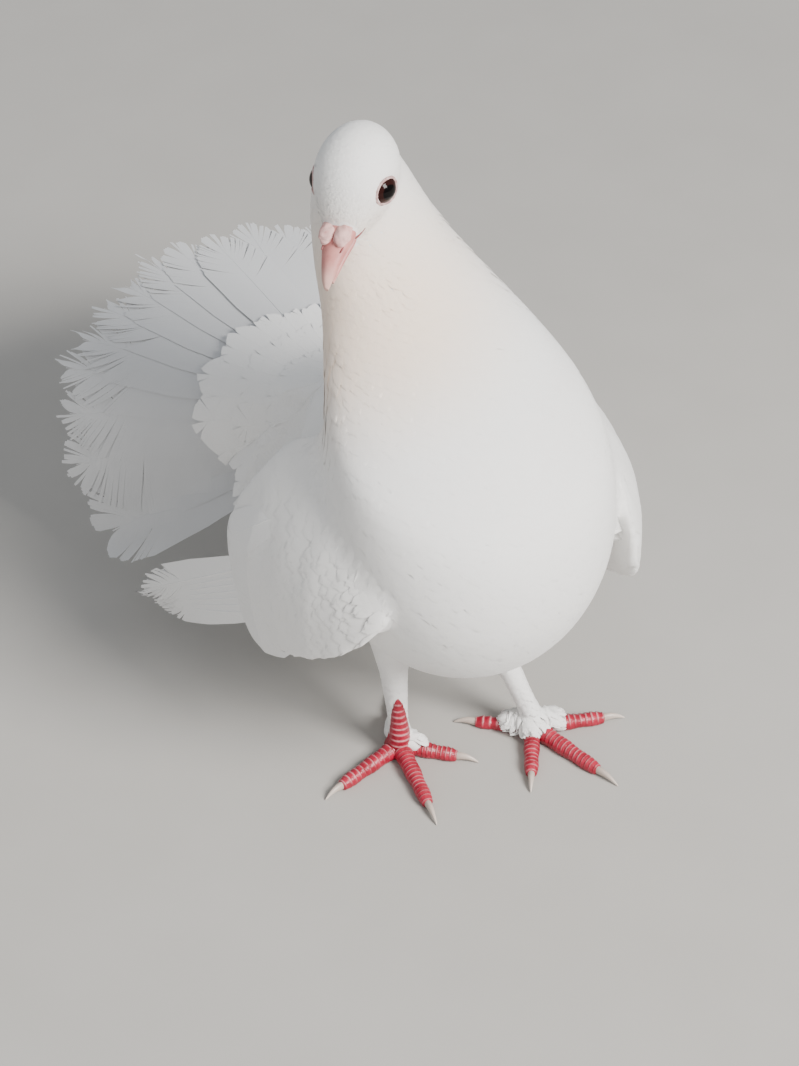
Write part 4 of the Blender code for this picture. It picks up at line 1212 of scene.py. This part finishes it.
def featherFinish(name, translucent=0.0, quill=False, paintedShade=0.0):
    soft = {"Sheen_Weight": 0.2, "Sheen_Roughness": 0.45, "Specular_IOR_Level": 0.25}
    finish = Finish(name, 0.62, (0.83, 0.82, 0.80), **soft)
    place = finish.place()
    u, v, _ = finish.parts(finish.map("vane"))
    broad = finish.noise(place, 22.0, 2.0)
    fine = finish.noise(place, 160.0, 3.0)
    middle, reach = plumage["throat"]
    away = finish.add("ShaderNodeVectorMath", {"operation": "DISTANCE"}, (place, middle), "Value")
    peach = 1 - finish.step(away, reach * 0.25, reach * 1.15)
    white = finish.mix(broad, *plumage["white"])
    tinted = finish.mix(peach * plumage["peachStrength"], white, plumage["peach"])
    colour = finish.mix(fine * 0.10, tinted, plumage["dust"])
    if quill:
        stretched = finish.add("ShaderNodeCombineXYZ", {}, (u * 220.0, v * 3.0, 0.0))
        barbs = finish.noise(stretched, 1.0, 2.0, 0.6)
        # the barbs' streaks lean to the bluish grey, and the last argument adds more of it as painted shade
        finish.use("Base Color", finish.mix(barbs * 0.16 + paintedShade, colour, plumage["barbGreyAndShade"]))
        finish.bump(barbs, 0.00014, 0.4)
    else:
        slant = u * 14.0 - finish.add("ShaderNodeMath", {"operation": "ABSOLUTE"}, (v - 0.5,)) * 16.0
        barbs = finish.add("ShaderNodeMath", {"operation": "SINE"}, (slant * 9.0,))
        own = finish.attribute("shade")
        # darker towards each feather's root: painted shade where the next feather covers it; the shade
        # attribute adds a random tone to each feather
        finish.use("Base Color", finish.mix((1 - u) * 0.14 + own * 0.07, colour, plumage["shadow"]))
        finish.bump(barbs * 0.4 + fine * 0.6, 0.00008, 0.3)
    if translucent:
        through = finish.add("ShaderNodeBsdfTranslucent", {}, (plumage["through"],))
        opaque = Wire(finish, finish.shader.outputs[0])
        blended = finish.add("ShaderNodeMixShader", {}, (translucent, opaque, through))
        finish.plug(finish.tree.nodes["Material Output"].inputs[0], blended)
    return finish


def skinFinish():
    finish = Finish("downUnderCoat", 0.8, (0.80, 0.79, 0.77), Sheen_Weight=0.3)
    fluff = finish.noise(finish.place(), 420.0, 4.0, 0.65)
    finish.use("Base Color", finish.mix(fluff, plumage["shadow"], (0.86, 0.85, 0.83)))
    finish.bump(fluff, 0.0003, 0.5)
    return finish


# colours of the bare parts
bareColours = {
    "iris": (0.020, 0.006, 0.005), "pupil": (0.002, 0.0015, 0.0015),
    "lid": ((0.36, 0.21, 0.20), (0.60, 0.44, 0.42)),
    "bill": ((0.46, 0.165, 0.155), (0.56, 0.235, 0.21)), "billTip": (0.62, 0.38, 0.33),
    "cere": ((0.50, 0.215, 0.20), (0.68, 0.42, 0.39)), "gape": ((0.26, 0.075, 0.075), (0.30, 0.09, 0.08)),
    "toe": ((0.25, 0.004, 0.018), (0.40, 0.011, 0.038)), "scuteEdge": (0.62, 0.33, 0.34),
    "claw": ((0.40, 0.32, 0.27), (0.66, 0.58, 0.51)),
}


def grained(name, roughness, colour, gloss, fineness, detail=2.0, coarse=0.5):
    # a plain finish with the noise that its colours and bump are made from
    finish = Finish(name, roughness, colour, Specular_IOR_Level=gloss)
    return finish, finish.noise(finish.place(), fineness, detail, coarse)


def faceAndFootFinishes():
    ball = Finish("eyeball", 0.08, bareColours["iris"], Specular_IOR_Level=0.12)
    pupil = ball.step(ball.attribute("pole"), 0.52, 0.44)
    ball.use("Base Color", ball.mix(pupil, bareColours["iris"], bareColours["pupil"]))

    lid, grain = grained("eyelid", 0.55, (0.4, 0.25, 0.23), 0.4, 900.0, 3.0, 0.6)
    lid.use("Base Color", lid.mix(lid.step(grain, 0.35, 0.65), *bareColours["lid"]))
    lid.bump(grain, 0.0002, 0.6)

    horn, grain = grained("billHorn", 0.42, (0.78, 0.5, 0.47), 0.45, 260.0, 4.0, 0.55)
    pink = horn.mix(horn.step(grain, 0.3, 0.7), *bareColours["bill"])
    tip = horn.step(horn.attribute("along"), 0.62, 1.0)
    horn.use("Base Color", horn.mix(tip, pink, bareColours["billTip"]))
    horn.bump(grain, 0.0001, 0.4)

    cere, grain = grained("chalkyCere", 0.7, (0.8, 0.6, 0.56), 0.3, 520.0, 5.0, 0.65)
    broad = cere.noise(cere.place(), 190.0)
    cere.use("Base Color", cere.mix(cere.step(broad * 0.55 + grain * 0.45, 0.38, 0.60), *bareColours["cere"]))
    cere.bump(grain, 0.0003, 0.6)

    # dark red: the skin's own red, darkened as painted shade in the nostril slits and the mouth's line
    dark, grain = grained("gapeEdge", 0.5, bareColours["gape"][0], 0.5, 500.0)
    dark.use("Base Color", dark.mix(grain * 0.5, *bareColours["gape"]))

    red, grain = grained("scalyToe", 0.38, (0.5, 0.02, 0.05), 0.5, 380.0, 4.0, 0.6)
    values = {"Vector": red.place(), "Scale": 820.0}
    pebble = red.add("ShaderNodeTexVoronoi", {"feature": "DISTANCE_TO_EDGE"}, values, "Distance")
    skin = red.mix(red.step(grain, 0.3, 0.7), *bareColours["toe"])
    worn = red.attribute("edge") * red.step(grain, 0.25, 0.55)
    red.use("Base Color", red.mix(worn * 0.85, skin, bareColours["scuteEdge"]))
    red.bump(red.step(pebble, 0.0, 0.25) * 0.6 + grain * 0.4, 0.00012, 0.5)

    claw, grain = grained("clawHorn", 0.34, (0.62, 0.55, 0.47), 0.5, 300.0, 3.0)
    claw.use("Base Color", claw.mix(claw.attribute("along") * 0.7 + grain * 0.3, *bareColours["claw"]))
    claw.bump(grain, 0.00008, 0.4)
    return ball, lid, horn, cere, dark, red, claw


print("stage: finishes")
coatFinish = featherFinish("bodyFeather")
# the tail's quills are mixed 0.4 further towards the bluish grey: painted shade
quillFinish = featherFinish("flightFeather", 0.25, True, 0.4)
wingFinish = featherFinish("wingFeather", 0.0, True)
downFinish = skinFinish()

print("stage: skin")
skin = makeSkin(downFinish)
dress(skin, "feather", "head", "neck", "torso", "wing_left", "wing_right", "leg_left", "leg_right", "tail")
verts, normals, tris = skinArrays(skin)
print("skin points", len(verts), "triangles", len(tris))
skinTree = BVHTree.FromPolygons(verts.tolist(), tris.tolist())
faceNormals = unit(normals[tris].mean(1))

print("stage: lie of the coat")
field = coatField(verts, normals, tris)


def ruffled(places):
    # how much a feather stands out, from 0 to about 1, near the places where the photo shows them parted
    amount = np.zeros(len(places))
    for centre, reach, much in coat["ruffles"]:
        away = np.linalg.norm(places - np.array(centre), axis=1) / reach
        amount += much * np.exp(-(away**2))
    return amount


def bareSpots(places, ways, lengths):
    # where no feather may stand: the face's bare parts, under the feet, the shank's strip and the tail's root
    tips = places + ways * lengths[:, None]
    atRoot, atTip = coat["billClear"]
    bare = bareFace(places, atRoot) | bareFace(tips, atTip)
    for side in (1, -1):
        centre, look, along, up = eyeAxes(side)
        for share, limit in coat["eyeClear"]:
            spot = places + ways * (lengths * share)[:, None] - centre
            off = np.hypot(spot @ along, spot @ up)
            bare |= (spot @ look > 0) & (spot @ look < 9) & (off < limit)
    atRoot, atTip = coat["footClear"]
    bare |= (places[:, 2] <= stance[2] + atRoot) | (tips[:, 2] <= stance[2] + atTip)
    shank = legLine("right")[0][None, :20]
    nearest = np.abs(places[:, None, 2] - shank[..., 2]).argmin(1)
    front = (places[:, None, :2] - shank[..., :2])[np.arange(len(places)), nearest]
    bare |= ((np.linalg.norm(front, axis=1) < 9) & (front @ np.array((-0.29, -0.96)) > 2.3)
             & (places[:, 2] < stance[2] + 7 + 0.33 * 38))
    under = (places[:, 1] > tailRoot[1] + 24) & (np.abs(places[:, 0]) < 22) & (places[:, 2] > 55)
    return bare | under


def layCoat():
    rng = np.random.default_rng(7)
    tries = coat["tries"]["full"]
    places, values, pick, share = scatter(verts, tris, field, rng, tries)
    outward = unit((normals[tris[pick]] * share[..., None]).sum(1))
    ways, lengths, rises = values[:, :3], values[:, 3], values[:, 5]
    ways = unit(ways - outward * (ways * outward).sum(1, keepdims=True))
    keep = ~bareSpots(places, ways, lengths)
    places, outward, ways, lengths, rises = (a[keep] for a in (places, outward, ways, lengths, rises))
    loose, shade = ruffled(places), rng.random(len(places))
    print("feathers", len(places))
    order, limit = np.argsort(places[:, 2], kind="stable"), featherForm["pieceLimit"]
    for n, begin in enumerate(range(0, len(order), limit)):
        part = order[begin:begin + limit]
        laid = layFeathers(*(a[part] for a in (places, outward, ways, lengths, rises, loose)), rng)
        featherPiece(f"coat{n + 1}", *laid, shade[part], coatFinish)


print("stage: coat")
layCoat()
print("stage: tail and wing quills")
makeTail(quillFinish, wingFinish, np.random.default_rng(11))
makeWingQuills("wingFeathersLeft", 1, wingFinish, np.random.default_rng(12))
makeWingQuills("wingFeathersRight", -1, wingFinish, np.random.default_rng(13))

print("stage: eyes, bill and feet")
ballFinish, lidFinish, hornSkin, cereSkin, gapeRedAndSlitShade, redSkin, clawHorn = faceAndFootFinishes()
makeEye("Left", 1, ballFinish, lidFinish)
makeEye("Right", -1, ballFinish, lidFinish)
makeBill(hornSkin, cereSkin, gapeRedAndSlitShade)
makeFoot("right", redSkin, clawHorn)
makeFoot("left", redSkin, clawHorn)

print("stage: floor, light and camera")
stage = {
    "half": 6.0, "floor": ((0.395, 0.38, 0.355), (0.435, 0.42, 0.395)),
    "sky": (0.93, 0.96, 1.0, 1), "skyPower": 0.45,
    # lamps, by the camera's own directions: right, up and near in metres, size, watts and colour
    "lamps": {
        "key": ((0.95, 0.95, 0.85), 0.6, 56.0, (1.0, 0.975, 0.945)),
        "fill": ((-0.5, 0.45, 1.3), 1.2, 5.0, (1.0, 0.985, 0.97)),
        "rear": ((-0.7, 1.0, -0.9), 0.9, 4.0, (0.82, 0.90, 1.0)),
    },
    "lampsAim": (0, 0, 0.09),
}
camera = {
    "azimuth": math.radians(-28), "elevation": math.radians(40), "distance": 1.15,
    "lens": 130.1, "sensor": 36, "aim": (0.0005, 0.0436, 0.0462),
}


def makeFloorAndSky():
    mesh = bpy.data.meshes.new("floor")
    corners = [(x * stage["half"], y * stage["half"], 0) for x, y in ((-1, -1), (1, -1), (1, 1), (-1, 1))]
    mesh.from_pydata(corners, [], [(0, 1, 2, 3)])
    floor = bpy.data.objects.new("floor", mesh)
    bpy.context.scene.collection.objects.link(floor)
    finish, grain = grained("paleFloor", 0.85, (0.41, 0.40, 0.375), 0.5, 30.0, 3.0)
    finish.use("Base Color", finish.mix(grain, *stage["floor"]))
    floor.data.materials.append(finish.material)
    world = bpy.data.worlds.new("studio")
    world.use_nodes = True
    sky = world.node_tree.nodes["Background"].inputs
    sky[0].default_value, sky[1].default_value = stage["sky"], stage["skyPower"]
    bpy.context.scene.world = world


def makeCamera(rightWay):
    azimuth, elevation = camera["azimuth"], camera["elevation"]
    level = math.cos(elevation)
    back = np.array((math.sin(azimuth) * level, -math.cos(azimuth) * level, math.sin(elevation)))
    data = bpy.data.cameras.new("camera")
    data.lens = camera["lens"]
    data.sensor_width = camera["sensor"]
    data.clip_start = 0.01
    made = bpy.data.objects.new("camera", data)
    turnTo = Matrix([list(row) for row in np.stack([rightWay, np.cross(back, rightWay), back], 1)]).to_4x4()
    aim = np.array(camera["aim"]) + rowShift * 0.001
    made.matrix_world = Matrix.Translation(Vector(aim + back * camera["distance"])) @ turnTo
    bpy.context.scene.collection.objects.link(made)
    bpy.context.scene.camera = made


def makeLamps(rightWay):
    # soft panels, all aimed at the bird
    aim = Vector(stage["lampsAim"])
    for name, ((right, up, near), size, power, colour) in stage["lamps"].items():
        data = bpy.data.lights.new(name, "AREA")
        data.size = size
        data.energy = power
        data.color = colour
        made = bpy.data.objects.new(name, data)
        made.location = aim + Vector(rightWay * right + upright * up + np.cross(rightWay, upright) * near)
        made.rotation_euler = (aim - made.location).to_track_quat("-Z", "Y").to_euler()
        bpy.context.scene.collection.objects.link(made)


cameraRight = np.array((math.cos(camera["azimuth"]), math.sin(camera["azimuth"]), 0.0))
makeFloorAndSky()
makeCamera(cameraRight)
makeLamps(cameraRight)
